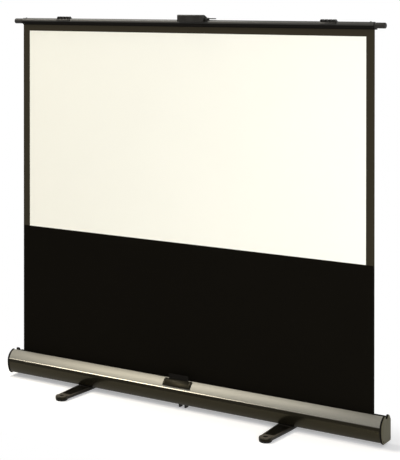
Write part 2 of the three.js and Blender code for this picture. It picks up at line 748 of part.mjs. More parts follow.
// Feet, drawn about their pivot
function footOutline() {
  const side = [
    [FOOT_HALF_WIDTH, 0],
    [FOOT_HALF_WIDTH, FOOT_WIDE_REACH],
  ];
  const join = Math.asin(FOOT_TIP_HALF_WIDTH / PAD_RADIUS);
  const end = arcPoints(
    PAD_RADIUS,
    PAD_RADIUS,
    0,
    FOOT_REACH,
    join - QUARTER_TURN,
    3 * QUARTER_TURN - join,
    ARC_STEPS,
  );
  const half = [...side, ...end, ...side.slice(1).reverse().map(([x, y]) => [-x, y])];
  return [...half, ...half.map(([x, y]) => [-x, -y])];
}

function footBar(name) {
  const bar = prismUp(footOutline(), FOOT_UNDERSIDE, FOOT_TOP, FOOT_BEVEL);
  const bossTop = FOOT_TOP + PAD_BOSS_RISE;
  const bosses = [-FOOT_REACH, FOOT_REACH].map((y) =>
    turned(
      [
        [0, FOOT_UNDERSIDE + FOOT_BEVEL],
        [PAD_RADIUS, FOOT_UNDERSIDE + FOOT_BEVEL],
        [PAD_RADIUS, bossTop - FOOT_BEVEL],
        [PAD_RADIUS - FOOT_BEVEL, bossTop],
        [0, bossTop],
      ],
      DISC_SIDES,
      "z",
    ).translate(0, y, 0),
  );
  const wells = [-FOOT_REACH, FOOT_REACH].flatMap((y) => [
    rod(PAD_RECESS_RADIUS, bossTop - PAD_RECESS_DEPTH, bossTop + CUT_OVERRUN, DISC_SIDES, "z").translate(0, y, 0),
    rod(PAD_SCREW_RADIUS + REST_GAP, 0, bossTop, PIN_SIDES, "z").translate(0, y, 0),
  ]);
  const recessTop = FOOT_UNDERSIDE + PIVOT_RECESS_DEPTH;
  const hub = [
    rod(PIVOT_RADIUS + REST_GAP, 0, bossTop + CUT_OVERRUN, PIN_SIDES, "z"),
    rod(PIVOT_RECESS_RADIUS, FOOT_UNDERSIDE - CUT_OVERRUN, recessTop, DISC_SIDES, "z"),
  ];
  const pivotBoss = rod(PIVOT_BOSS_RADIUS, FOOT_UNDERSIDE + FOOT_BEVEL, bossTop, DISC_SIDES, "z");
  return piece(name, cutFrom(joined(bar, pivotBoss, ...bosses), ...wells, ...hub), blackPlastic);
}

function rubberPad(name, y) {
  const radius = PAD_RADIUS - RUBBER_INSET;
  const top = FOOT_UNDERSIDE - REST_GAP;
  const profile = [
    [0, 0],
    [radius - RUBBER_CHAMFER, 0],
    [radius, RUBBER_CHAMFER],
    [radius, top],
    [0, top],
  ];
  const hole = rod(PAD_SCREW_RADIUS + REST_GAP, PAD_SCREW_STOP, top + CUT_OVERRUN, PIN_SIDES, "z");
  return placed(piece(name, cutFrom(turned(profile, DISC_SIDES, "z"), hole), blackRubber), 0, y, 0);
}

function padScrew(name, y) {
  const seat = FOOT_TOP + PAD_BOSS_RISE - PAD_RECESS_DEPTH + REST_GAP;
  const length = seat - PAD_SCREW_STOP - REST_GAP;
  const profile = screwProfile(PAD_SCREW_RADIUS, length, PAD_SCREW_HEAD_RADIUS, PAD_SCREW_HEAD_HEIGHT);
  return placed(piece(name, turned(profile, PIN_SIDES, "z"), plainSteel), 0, y, seat);
}

function footPivot(name) {
  const seat = FOOT_UNDERSIDE + PIVOT_RECESS_DEPTH - REST_GAP;
  const clinch = CASE_FLOOR + REST_GAP;
  const profile = [
    [0, seat - PIVOT_HEAD_HEIGHT],
    [PIVOT_HEAD_RADIUS, seat - PIVOT_HEAD_HEIGHT],
    [PIVOT_HEAD_RADIUS, seat],
    [PIVOT_RADIUS, seat],
    [PIVOT_RADIUS, clinch],
    [PIVOT_HEAD_RADIUS, clinch],
    [PIVOT_HEAD_RADIUS, clinch + PIVOT_HEAD_HEIGHT / 2],
    [PIVOT_RADIUS, clinch + PIVOT_HEAD_HEIGHT],
    [0, clinch + PIVOT_HEAD_HEIGHT],
  ];
  return piece(name, turned(profile, DISC_SIDES, "z"), plainSteel);
}

function footAssembly(end, side) {
  const parts = [footBar(`foot_${end}`), footPivot(`foot_pivot_${end}`)];
  for (const [place, y] of [["front", -FOOT_REACH], ["rear", FOOT_REACH]]) {
    parts.push(rubberPad(`foot_pad_${end}_${place}`, y));
    parts.push(padScrew(`pad_screw_${end}_${place}`, y));
  }
  return placed(groupOf(...parts), side * FOOT_X, 0, 0);
}

// An arm lies along X from its own first pivot and is turned into place.
function arm(name, x, z, y, angle) {
  const half = ARM_WIDTH / 2;
  const outline = [
    ...arcPoints(half, half, 0, 0, QUARTER_TURN, 3 * QUARTER_TURN, ARC_STEPS),
    ...arcPoints(half, half, ARM_LENGTH, 0, -QUARTER_TURN, QUARTER_TURN, ARC_STEPS),
  ];
  const holes = [0, ARM_LENGTH / 2, ARM_LENGTH].map((at) => circlePoints(RIVET_HOLE_RADIUS, at, 0, PIN_SIDES));
  const solid = prismAlongY(outline, -ARM_THICKNESS / 2, ARM_THICKNESS / 2, holes);
  const mesh = placed(piece(name, solid, armAluminium), x, y, z);
  mesh.rotation.y = -angle;
  return mesh;
}

// A rivet along Y with a domed head past each of the faces that it clamps
function rivet(name, x, z, front, rear) {
  const from = front - REST_GAP;
  const to = rear + REST_GAP;
  const rim = RIVET_HEAD_RADIUS - RIVET_HEAD_HEIGHT / 2;
  const profile = [
    [0, from - RIVET_HEAD_HEIGHT],
    [rim, from - RIVET_HEAD_HEIGHT],
    [RIVET_HEAD_RADIUS, from - RIVET_HEAD_HEIGHT / 2],
    [RIVET_HEAD_RADIUS, from],
    [RIVET_RADIUS, from],
    [RIVET_RADIUS, to],
    [RIVET_HEAD_RADIUS, to],
    [RIVET_HEAD_RADIUS, to + RIVET_HEAD_HEIGHT / 2],
    [rim, to + RIVET_HEAD_HEIGHT],
    [0, to + RIVET_HEAD_HEIGHT],
  ];
  return placed(piece(name, turned(profile, PIN_SIDES), plainSteel), x, 0, z);
}

function earFaces(armY) {
  const near = ARM_THICKNESS / 2 + RUN_GAP;
  const far = near + EAR_THICKNESS;
  return [armY - far, armY - near, armY + near, armY + far];
}

// A clevis on a rail: a head in the channel, a neck through the lips, and two ears about the arm.
// It is drawn about the pivot with the rail below it, and the way -1 turns it over.
function clevis(name, x, pivotZ, armY, way, toRail) {
  const slip = RUN_GAP / 2;
  const base = -toRail;
  const lipTop = base + RAIL_HEIGHT + RAIL_LIP_THICKNESS;
  const bridgeFoot = lipTop + slip;
  const bridgeTop = bridgeFoot + BRIDGE_THICKNESS;
  const half = SHOE_LENGTH / 2;
  const faces = earFaces(armY);
  const neckFront = RAIL_Y - SHOE_NECK / 2;
  const neckRear = RAIL_Y + SHOE_NECK / 2;
  const head = block(
    -half,
    half,
    RAIL_Y - RAIL_WIDTH / 2 + slip,
    RAIL_Y + RAIL_WIDTH / 2 - slip,
    base + slip,
    base + RAIL_HEIGHT - slip,
  );
  const neck = block(-half, half, neckFront, neckRear, base + RAIL_HEIGHT / 2, bridgeFoot + BRIDGE_THICKNESS / 2);
  const bridge = block(
    -half,
    half,
    Math.min(neckFront, faces[0]),
    Math.max(neckRear, faces[3]),
    bridgeFoot,
    bridgeTop,
  );
  const earOutline = [
    [-half, bridgeFoot + BRIDGE_THICKNESS / 2],
    [half, bridgeFoot + BRIDGE_THICKNESS / 2],
    ...arcPoints(EAR_WIDTH / 2, EAR_WIDTH / 2, 0, 0, 0, Math.PI, ARC_STEPS),
  ];
  const hole = [circlePoints(RIVET_HOLE_RADIUS, 0, 0, PIN_SIDES)];
  const ears = [0, 2].map((i) => prismAlongY(earOutline, faces[i], faces[i + 1], hole));
  const solid = joined(head, neck, bridge, ...ears);
  const standing = way > 0 ? solid : solid.mirror([0, 0, 1]);
  return placed(piece(name, standing, plainSteel), x, 0, pivotZ);
}

function armFaces(front, rear) {
  return [front - ARM_THICKNESS / 2, rear + ARM_THICKNESS / 2];
}

function foldingArms() {
  const both = armFaces(FRONT_ARM_Y, REAR_ARM_Y);
  const frontEars = earFaces(FRONT_ARM_Y);
  const rearEars = earFaces(REAR_ARM_Y);
  const lowMiddle = LOWER_PIVOT_Z + STAGE_RISE / 2;
  const highMiddle = ELBOW_Z + STAGE_RISE / 2;
  const back = Math.PI - ARM_ANGLE;
  return groupOf(
    arm("lower_arm_front", ARM_LEFT_X, LOWER_PIVOT_Z, FRONT_ARM_Y, ARM_ANGLE),
    arm("lower_arm_rear", ARM_RIGHT_X, LOWER_PIVOT_Z, REAR_ARM_Y, back),
    arm("upper_arm_front", ARM_LEFT_X, ELBOW_Z, FRONT_ARM_Y, ARM_ANGLE),
    arm("upper_arm_rear", ARM_RIGHT_X, ELBOW_Z, REAR_ARM_Y, back),
    rivet("rivet_lower_middle", MIDDLE_X, lowMiddle, ...both),
    rivet("rivet_upper_middle", MIDDLE_X, highMiddle, ...both),
    rivet("rivet_elbow_left", ARM_LEFT_X, ELBOW_Z, ...both),
    rivet("rivet_elbow_right", ARM_RIGHT_X, ELBOW_Z, ...both),
    clevis("lower_bracket", ARM_LEFT_X, LOWER_PIVOT_Z, FRONT_ARM_Y, 1, LOWER_PIVOT_RISE),
    rivet("rivet_lower_bracket", ARM_LEFT_X, LOWER_PIVOT_Z, frontEars[0], frontEars[3]),
    clevis("lower_shoe", ARM_RIGHT_X, LOWER_PIVOT_Z, REAR_ARM_Y, 1, LOWER_PIVOT_RISE),
    rivet("rivet_lower_shoe", ARM_RIGHT_X, LOWER_PIVOT_Z, rearEars[0], rearEars[3]),
    clevis("upper_bracket", ARM_LEFT_X, UPPER_PIVOT_Z, REAR_ARM_Y, -1, UPPER_PIVOT_DROP),
    rivet("rivet_upper_bracket", ARM_LEFT_X, UPPER_PIVOT_Z, rearEars[0], rearEars[3]),
    clevis("upper_shoe", ARM_RIGHT_X, UPPER_PIVOT_Z, FRONT_ARM_Y, -1, UPPER_PIVOT_DROP),
    rivet("rivet_upper_shoe", ARM_RIGHT_X, UPPER_PIVOT_Z, frontEars[0], frontEars[3]),
  );
}

// Top bar, drawn about its own centre line
function topBar() {
  const inner = BAR_RADIUS - BAR_WALL;
  const keelJoin = Math.asin(KEEL_HALF_WIDTH / BAR_RADIUS);
  const slitJoin = Math.asin(SLIT_HALF_WIDTH / inner);
  const flangeTop = Math.asin(FLANGE_DROP / BAR_RADIUS);
  const flangeRoot = Math.asin(FLANGE_UNDERSIDE / BAR_RADIUS);
  const rear = CASE_REAR - FABRIC_Y;
  const outline = [
    [SLIT_HALF_WIDTH, -KEEL_DROP],
    [KEEL_HALF_WIDTH, -KEEL_DROP],
    ...arcPoints(BAR_RADIUS, BAR_RADIUS, 0, 0, keelJoin - QUARTER_TURN, -flangeRoot, 1),
    ...railPoints(RAIL_Y - FABRIC_Y, -FLANGE_UNDERSIDE, -1).reverse(),
    [rear, -FLANGE_UNDERSIDE],
    [rear, -FLANGE_DROP],
    ...arcPoints(BAR_RADIUS, BAR_RADIUS, 0, 0, -flangeTop, 3 * QUARTER_TURN - keelJoin, BAR_SIDES),
    [-KEEL_HALF_WIDTH, -KEEL_DROP],
    [-SLIT_HALF_WIDTH, -KEEL_DROP],
    ...arcPoints(inner, inner, 0, 0, 3 * QUARTER_TURN - slitJoin, slitJoin - QUARTER_TURN, BAR_SIDES),
  ];
  const bar = prismAlongX(outline, -FABRIC_WIDTH / 2, FABRIC_WIDTH / 2);
  const holes = [-1, 1].map((side) =>
    rod(PLUG_SCREW_RADIUS + REST_GAP, 0, BAR_RADIUS + CUT_OVERRUN, PIN_SIDES, "z").translate(
      side * (FABRIC_WIDTH / 2 - PLUG_SCREW_INSET),
      0,
      0,
    ),
  );
  return piece("top_bar", cutFrom(bar, ...holes), blackAnodised);
}

function barPlug(name, side) {
  const end = FABRIC_WIDTH / 2;
  const spigot = BAR_RADIUS - BAR_WALL - REST_GAP;
  const plug = turned(
    [
      [0, end - PLUG_INSIDE],
      [spigot, end - PLUG_INSIDE],
      [spigot, end + REST_GAP],
      [PLUG_RADIUS, end + REST_GAP],
      [PLUG_RADIUS, end + PLUG_REACH - PLUG_ROUNDING],
      ...arcPoints(
        PLUG_ROUNDING,
        PLUG_ROUNDING,
        PLUG_RADIUS - PLUG_ROUNDING,
        end + PLUG_REACH - PLUG_ROUNDING,
        0,
        QUARTER_TURN,
        CORNER_STEPS,
      ).slice(1),
      [0, end + PLUG_REACH],
    ],
    BAR_SIDES,
    "x",
  );
  const hole = rod(PLUG_SCREW_RADIUS + REST_GAP, 0, BAR_RADIUS, PIN_SIDES, "z").translate(
    end - PLUG_SCREW_INSET,
    0,
    0,
  );
  const splineRoom = rod(
    SPLINE_RADIUS + REST_GAP,
    end - PLUG_INSIDE - CUT_OVERRUN,
    end + REST_GAP,
    PIN_SIDES,
    "x",
  ).translate(0, 0, splineHeight());
  return piece(name, cutFrom(plug, hole, splineRoom).scale([side, 1, 1]), blackPlastic);
}

function plugScrew(name, side) {
  const profile = screwProfile(
    PLUG_SCREW_RADIUS,
    PLUG_SCREW_DEPTH,
    PLUG_SCREW_HEAD_RADIUS,
    PLUG_SCREW_HEAD_HEIGHT,
  );
  const solid = turned(profile, PIN_SIDES, "z");
  const x = side * (FABRIC_WIDTH / 2 - PLUG_SCREW_INSET);
  return placed(piece(name, solid, plainSteel), x, 0, BAR_RADIUS + REST_GAP);
}

// The rod in the fabric's top hem lies on the slit, inside the tube.
function splineHeight() {
  return -BAR_RADIUS + BAR_WALL + SPLINE_RADIUS + REST_GAP;
}

function fabricSpline() {
  const half = FABRIC_WIDTH / 2 - REST_GAP;
  return placed(
    piece("fabric_spline", rod(SPLINE_RADIUS, -half, half, PIN_SIDES, "x"), blackPlastic),
    0,
    0,
    splineHeight(),
  );
}

// A saddle hugs the bar's top, stands on the flange behind it and carries a row of knuckles.
function barSaddle(name, side) {
  const inner = BAR_RADIUS + REST_GAP;
  const outer = inner + SADDLE_THICKNESS;
  const half = SADDLE_LENGTH / 2;
  const frontAngle = Math.PI - Math.asin(SADDLE_FRONT_RISE / outer);
  const outline = [
    ...arcPoints(outer, outer, 0, 0, 0, frontAngle, ARC_STEPS),
    ...arcPoints(inner, inner, 0, 0, frontAngle, 0, ARC_STEPS),
    [inner, -FLANGE_DROP + REST_GAP],
    [inner + SADDLE_LEG_THICKNESS, -FLANGE_DROP + REST_GAP],
    [inner + SADDLE_LEG_THICKNESS, 0],
  ];
  const shell = prismAlongX(outline, -half, half);
  const pitch = SADDLE_LENGTH / SADDLE_KNUCKLES;
  const knuckles = Array.from({ length: SADDLE_KNUCKLES }, (_, i) =>
    rod(KNUCKLE_RADIUS, -KNUCKLE_FRONT, KNUCKLE_REAR, PIN_SIDES, "y").translate(
      -half + pitch * (i + 1 / 2),
      0,
      KNUCKLE_Z,
    ),
  );
  const core = rod(inner, -half - CUT_OVERRUN, half + CUT_OVERRUN, BAR_SIDES, "x");
  const solid = cutFrom(joined(shell, ...knuckles), core);
  return placed(piece(name, solid, blackPlastic), side * SADDLE_X + SADDLE_SHIFT, 0, 0);
}

// Handle base: a saddle between the handle's legs, with the pivot ears and the lever's mount
function handleBase() {
  const half = HANDLE_LENGTH / 2 - LEG_THICKNESS - RUN_GAP;
  const seat = BAR_RADIUS + REST_GAP;
  const outline = [
    [BASE_FRONT, seat * Math.sin(Math.acos(BASE_FRONT / seat))],
    [BASE_FRONT, BASE_TOP - GRIP_CHAMFER],
    [BASE_FRONT + GRIP_CHAMFER, BASE_TOP],
    [BASE_WAIST, BASE_TOP],
    [BASE_WAIST, BASE_REAR_TOP],
    [BASE_REAR, BASE_REAR_TOP],
    [BASE_REAR, -FLANGE_DROP + REST_GAP],
    [seat, -FLANGE_DROP + REST_GAP],
    [seat, 0],
    ...arcPoints(seat, seat, 0, 0, 0, Math.acos(BASE_FRONT / seat), ARC_STEPS).slice(1, -1),
  ];
  const body = prismAlongX(outline, -half, half);
  const eye = circlePoints(HANDLE_EYE_RADIUS, HANDLE_PIVOT_Y, HANDLE_PIVOT_Z, DISC_SIDES);
  const root = [
    [HANDLE_PIVOT_Y - HANDLE_EYE_RADIUS, 0],
    [HANDLE_PIVOT_Y + HANDLE_EYE_RADIUS, 0],
    [HANDLE_PIVOT_Y + HANDLE_EYE_RADIUS, HANDLE_PIVOT_Z],
    [HANDLE_PIVOT_Y - HANDLE_EYE_RADIUS, HANDLE_PIVOT_Z],
  ];
  const ears = [-half, half - HANDLE_EAR_THICKNESS].flatMap((x) => [
    prismAlongX(eye, x, x + HANDLE_EAR_THICKNESS),
    prismAlongX(root, x, x + HANDLE_EAR_THICKNESS),
  ]);
  const pinHole = rod(HANDLE_PIN_RADIUS + REST_GAP, -half - CUT_OVERRUN, half + CUT_OVERRUN, PIN_SIDES, "x");
  const solid = cutFrom(
    joined(body, ...ears, ...leverMount(half)),
    pinHole.translate(0, HANDLE_PIVOT_Y, HANDLE_PIVOT_Z),
    leverPinHole(),
  );
  return placed(piece("handle_base", solid, blackPlastic), HANDLE_X, 0, 0);
}

// Lever places are measured from the handle's middle.
function leverPivotX() {
  return HANDLE_LENGTH / 2 + LEVER_GAP + LEVER_MOUNT_LENGTH / 2;
}

function leverMount(from) {
  const inner = BAR_RADIUS + REST_GAP;
  const outer = LEG_UNDERSIDE - RUN_GAP;
  const to = leverPivotX() + LEVER_MOUNT_LENGTH / 2;
  const spanHalf = Math.asin((LEVER_HALF_WIDTH + RUN_GAP + LEVER_EAR_THICKNESS) / outer);
  const strip = [
    ...arcPoints(outer, outer, 0, 0, QUARTER_TURN - spanHalf, QUARTER_TURN + spanHalf, ARC_STEPS),
    ...arcPoints(inner, inner, 0, 0, QUARTER_TURN + spanHalf, QUARTER_TURN - spanHalf, ARC_STEPS),
  ];
  const earFoot = inner * Math.cos(spanHalf) + (outer - inner) / 2;
  const earOutline = [
    ...arcPoints(LEVER_EAR_RADIUS, LEVER_EAR_RADIUS, leverPivotX(), LEVER_PIVOT_Z, 0, Math.PI, ARC_STEPS),
    [leverPivotX() - LEVER_EAR_RADIUS, earFoot],
    [leverPivotX() + LEVER_EAR_RADIUS, earFoot],
  ];
  const near = LEVER_HALF_WIDTH + RUN_GAP;
  const far = near + LEVER_EAR_THICKNESS;
  return [
    prismAlongX(strip, from - LEG_THICKNESS, to),
    prismAlongY(earOutline, -far, -near),
    prismAlongY(earOutline, near, far),
  ];
}

function leverPinHole() {
  const reach = LEVER_HALF_WIDTH + LEVER_EAR_THICKNESS + CUT_OVERRUN;
  return rod(LEVER_PIN_RADIUS + REST_GAP, -reach, reach, PIN_SIDES, "y").translate(leverPivotX(), 0, LEVER_PIVOT_Z);
}

// The handle folds down over the bar: a deep grip in front and two legs to the pivot behind.
function carryHandle() {
  const half = HANDLE_LENGTH / 2;
  const grip = [
    [GRIP_FRONT, HANDLE_BOTTOM],
    [GRIP_FRONT, HANDLE_TOP - GRIP_CHAMFER],
    [GRIP_FRONT + GRIP_CHAMFER, HANDLE_TOP],
    [GRIP_BACK, HANDLE_TOP],
    [GRIP_BACK, HANDLE_BOTTOM],
  ];
  const legUnderEdge = HANDLE_PIVOT_Y - HANDLE_EYE_RADIUS - GRIP_CHAMFER;
  const leg = [
    [GRIP_BACK, HANDLE_TOP],
    [LEG_TOP_BACK, HANDLE_TOP],
    ...arcPoints(
      HANDLE_EYE_RADIUS,
      HANDLE_EYE_RADIUS,
      HANDLE_PIVOT_Y,
      HANDLE_PIVOT_Z,
      QUARTER_TURN / 2,
      -QUARTER_TURN,
      ARC_STEPS,
    ),
    [HANDLE_PIVOT_Y - HANDLE_EYE_RADIUS, HANDLE_PIVOT_Z - HANDLE_EYE_RADIUS / 2],
    [legUnderEdge, LEG_UNDERSIDE],
    [GRIP_BACK - GRIP_CHAMFER, LEG_UNDERSIDE],
    [GRIP_BACK - GRIP_CHAMFER, HANDLE_TOP - GRIP_CHAMFER],
  ];
  const grooves = [-1, 1].flatMap((side) =>
    Array.from({ length: GRIP_GROOVES }, (_, i) => {
      const x = side * HANDLE_LENGTH * GROOVE_PLACE_SHARE + (i - (GRIP_GROOVES - 1) / 2) * 2 * GROOVE_WIDTH;
      return block(
        x - GROOVE_WIDTH / 2,
        x + GROOVE_WIDTH / 2,
        GRIP_FRONT - CUT_OVERRUN,
        GRIP_FRONT + GROOVE_DEPTH,
        HANDLE_BOTTOM + GRIP_CHAMFER,
        HANDLE_TOP - 2 * GRIP_CHAMFER,
      );
    }),
  );
  const legs = [
    prismAlongX(leg, -half, -half + LEG_THICKNESS),
    prismAlongX(leg, half - LEG_THICKNESS, half),
  ];
  const pinHole = rod(HANDLE_PIN_RADIUS + REST_GAP, -half - CUT_OVERRUN, half + CUT_OVERRUN, PIN_SIDES, "x");
  const solid = cutFrom(
    joined(prismAlongX(grip, -half, half), ...legs),
    pinHole.translate(0, HANDLE_PIVOT_Y, HANDLE_PIVOT_Z),
    ...grooves,
  );
  return placed(piece("carry_handle", solid, blackPlastic), HANDLE_X, 0, 0);
}

function handlePin() {
  const half = HANDLE_LENGTH / 2 - RUN_GAP;
  const pin = piece("handle_pin", rod(HANDLE_PIN_RADIUS, -half, half, PIN_SIDES, "x"), plainSteel);
  return placed(pin, HANDLE_X, HANDLE_PIVOT_Y, HANDLE_PIVOT_Z);
}

// The lever is drawn about its pin and lies along the bar.
function releaseLever() {
  const top = LEVER_BARREL_RADIUS;
  const plan = [
    [0, -LEVER_HALF_WIDTH],
    [LEVER_LENGTH / 2, -LEVER_HALF_WIDTH],
    [LEVER_LENGTH, -LEVER_TIP_HALF_WIDTH],
    [LEVER_LENGTH, LEVER_TIP_HALF_WIDTH],
    [LEVER_LENGTH / 2, LEVER_HALF_WIDTH],
    [0, LEVER_HALF_WIDTH],
  ];
  const tab = prismUp(plan, top - LEVER_THICKNESS, top);
  const barrel = rod(LEVER_BARREL_RADIUS, -LEVER_HALF_WIDTH, LEVER_HALF_WIDTH, PIN_SIDES, "y");
  const hole = rod(LEVER_PIN_RADIUS + REST_GAP, -BAR_RADIUS, BAR_RADIUS, PIN_SIDES, "y");
  const lever = piece("release_lever", cutFrom(joined(tab, barrel), hole), plainSteel);
  return placed(lever, HANDLE_X + leverPivotX(), 0, LEVER_PIVOT_Z);
}

function leverPin() {
  const half = LEVER_HALF_WIDTH + LEVER_EAR_THICKNESS;
  const pin = piece("lever_pin", rod(LEVER_PIN_RADIUS, -half, half, PIN_SIDES, "y"), plainSteel);
  return placed(pin, HANDLE_X + leverPivotX(), 0, LEVER_PIVOT_Z);
}

const caseGroup = groupOf(
  caseBody(),
  frontCover(),
  slotFelt(),
  barCatch(),
  endCap("end_cap_left", -1),
  endCap("end_cap_right", 1),
  ...capScrews(),
  centreSupport(),
);

const rollerGroup = placed(
  groupOf(
    rollerTube(),
    fabricWraps(),
    rollerPlug("roller_plug_left", -1),
    rollerPlug("roller_plug_right", 1),
    idleAxle(),
    springShaft(),
    torsionSpring(),
  ),
  0,
  ROLLER_Y,
  ROLLER_Z,
);

const barGroup = placed(
  groupOf(
    topBar(),
    fabricSpline(),
    barPlug("bar_plug_left", -1),
    barPlug("bar_plug_right", 1),
    plugScrew("plug_screw_left", -1),
    plugScrew("plug_screw_right", 1),
    barSaddle("bar_saddle_left", -1),
    barSaddle("bar_saddle_right", 1),
    handleBase(),
    carryHandle(),
    handlePin(),
    releaseLever(),
    leverPin(),
  ),
  0,
  FABRIC_Y,
  BAR_Z,
);

const screen = groupOf(
  caseGroup,
  rollerGroup,
  projectionFabric(),
  footAssembly("left", -1),
  footAssembly("right", 1),
  foldingArms(),
  barGroup,
);

export default screen;
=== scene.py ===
"""A floor-standing projector screen, raised out of its case on folding arms."""

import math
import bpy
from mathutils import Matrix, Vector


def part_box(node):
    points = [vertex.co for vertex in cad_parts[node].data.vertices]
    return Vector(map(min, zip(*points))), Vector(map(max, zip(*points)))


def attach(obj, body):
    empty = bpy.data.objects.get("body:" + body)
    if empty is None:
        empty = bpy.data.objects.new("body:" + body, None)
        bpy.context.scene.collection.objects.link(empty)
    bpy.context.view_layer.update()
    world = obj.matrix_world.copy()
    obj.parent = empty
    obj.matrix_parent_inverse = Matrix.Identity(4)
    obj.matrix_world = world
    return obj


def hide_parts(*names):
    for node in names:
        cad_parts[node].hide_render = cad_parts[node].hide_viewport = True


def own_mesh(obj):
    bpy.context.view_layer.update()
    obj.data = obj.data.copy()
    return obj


bl_info = {
    "name": "Pull-up Projector Screen",
    "version": (1, 0, 0),
    "blender": (4, 5, 0),
    "location": "View3D > Sidebar > Screen",
    "description": "Builds a floor-standing projector screen with its case, arms, cloth and feet",
    "category": "Object",
}

import bpy
from bpy.props import FloatProperty, FloatVectorProperty, IntProperty, PointerProperty
from mathutils import Matrix, Vector

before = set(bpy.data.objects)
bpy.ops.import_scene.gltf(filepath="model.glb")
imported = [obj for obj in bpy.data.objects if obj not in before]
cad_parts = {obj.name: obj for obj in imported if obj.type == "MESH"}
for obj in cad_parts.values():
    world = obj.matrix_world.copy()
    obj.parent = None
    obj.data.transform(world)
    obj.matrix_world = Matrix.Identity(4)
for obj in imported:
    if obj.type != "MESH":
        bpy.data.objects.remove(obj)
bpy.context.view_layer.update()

MM = 0.001
QUARTER = math.pi / 2
FULL = 2 * math.pi
X_AXIS, Y_AXIS, Z_AXIS = (1, 0, 0), (0, 1, 0), (0, 0, 1)
ARC = 20  # steps of an ordinary arc
FACING = 0.7  # share of a face's normal from which it counts as looking along an axis

# Places that the frame gives
CASE_LOW, CASE_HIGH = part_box("case_body")
CLOTH_LOW, CLOTH_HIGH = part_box("projection_fabric")
BAR_LOW, BAR_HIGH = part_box("top_bar")
ROLL_LOW, ROLL_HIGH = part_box("fabric_wraps")
FOOT_LOW, FOOT_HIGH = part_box("foot_right")
CLOTH_Y = (CLOTH_LOW.y + CLOTH_HIGH.y) / 2
BAR_RADIUS = CLOTH_Y - BAR_LOW.y
BAR_Z = BAR_HIGH.z - BAR_RADIUS
BAR_HALF = BAR_HIGH.x
CASE_HALF = CASE_HIGH.x
CASE_BOTTOM = CASE_LOW.z
CASE_FRONT = CASE_LOW.y
CASE_REAR = CASE_HIGH.y
ROLLER = (ROLL_LOW + ROLL_HIGH) / 2
FOOT_X = (FOOT_LOW.x + FOOT_HIGH.x) / 2

# The case's section: a shoulder arc over an elliptical belly
WALL = 2 * MM
SHOULDER_RADIUS = 49 * MM
SHOULDER_Y = CASE_FRONT + SHOULDER_RADIUS
SHOULDER_Z = CASE_BOTTOM + 56 * MM
BELLY_DEPTH = 29 * MM
BELLY_HEIGHT = 62 * MM
SEAM_RISE = 10 * MM  # where case and cover meet, above the shoulder's centre
SEAM_LAP = 7 * MM  # how far the case's tongue reaches up behind the cover
TONGUE = 0.9 * MM  # its thickness
PORT_INSET = 3.2 * MM  # from the walls to the middle of a screw port
PORT_RADIUS = 1.8 * MM
CASE_RAIL_Y = 27 * MM
BAR_RAIL_Y = 19 * MM  # behind the bar's middle

# One lip of a rail in millimetres: across from the rail's middle, and out from its base
RAIL_LIP = ((8, 0), (8, 6.2), (3, 6.2), (3, 4.6), (6, 4.6), (6, 0))

# The feet
FOOT_UNDER = FOOT_LOW.z
BOSS_TOP = FOOT_HIGH.z
FOOT_TOP = BOSS_TOP - 2.6 * MM  # of the flat bar between the bosses
END_RADIUS = 29 * MM
FOOT_REACH = FOOT_HIGH.y - END_RADIUS  # from the pivot to the middle of a round end
PIVOT_HOLE = 6.3 * MM
PAD_SCREW_HOLE = 3.3 * MM
THROUGH = 30 * MM  # a height above the feet, which cuts through them reach

# The top bar
PLUG_SCREW_X = BAR_HALF - 18 * MM
BAR_MIDDLE = (0, CLOTH_Y, BAR_Z)

BODY = "case"  # the body that stands still


def linear(code):
    """The linear colour of an sRGB hex value."""
    channels = [int(code[i : i + 2], 16) / 255 for i in (0, 2, 4)]
    return [c / 12.92 if c <= 0.04045 else ((c + 0.055) / 1.055) ** 2.4 for c in channels]


def size_property(label, text, default, low, high):
    return FloatProperty(
        name=label, description=text, default=default, min=low, max=high, subtype="DISTANCE", unit="LENGTH"
    )


def colour_property(label, text, code):
    return FloatVectorProperty(
        name=label, description=text, default=linear(code), size=3, min=0.0, max=1.0, subtype="COLOR"
    )


class ScreenSizes(bpy.types.PropertyGroup):
    """Sizes that a user would change."""

    white_width: size_property("White width", "Width of the white area", 1.771, 0.5, 1.8)
    white_top: size_property("White top", "Height of the white area's top edge", 1.701, 1.2, 1.72)
    white_bottom: size_property("White bottom", "Height of the white area's bottom edge", 0.744, 0.2, 1.2)
    cloth_thickness: size_property("Cloth thickness", "Thickness of the coated cloth", 0.0004, 0.0002, 0.0006)
    cloth_wave: size_property("Cloth wave", "Depth of the cloth's slow waves", 0.0006, 0.0, 0.003)
    edge_radius: size_property("Edge radius", "Rounding of the moulded parts' edges", 0.0012, 0.0002, 0.002)
    bead_height: size_property("Bead height", "How far the bead stands proud", 0.0013, 0.0005, 0.002)
    humps: IntProperty(name="Humps", description="Humps along each saddle", default=4, min=2, max=6)


class ScreenColours(bpy.types.PropertyGroup):
    """Colours that a user would change."""

    white: colour_property("White area", "Projection surface", "F4F3E7")
    border: colour_property("Border", "Printed border of the cloth", "1C1812")
    skirt: colour_property("Skirt", "Long black part of the cloth", "0D0B07")
    silver: colour_property("Cover", "Brushed cover of the case", "807E76")
    black: colour_property("Case", "Black extrusions", "15130D")
    moulding: colour_property("Mouldings", "Black moulded parts", "171510")
    cap: colour_property("End caps", "Grey-green moulded end caps", "423F2C")


# Modelling, as by hand


def leave_editing():
    if bpy.context.mode != "OBJECT":
        bpy.ops.object.mode_set(mode="OBJECT")
    bpy.ops.object.select_all(action="DESELECT")


def pick(obj):
    leave_editing()
    obj.select_set(True)
    bpy.context.view_layer.objects.active = obj
    return obj


def edit(obj, mode="FACE", everything=False):
    pick(obj)
    bpy.ops.object.mode_set(mode="EDIT")
    bpy.ops.mesh.select_mode(type=mode)
    bpy.ops.mesh.select_all(action="SELECT" if everything else "DESELECT")


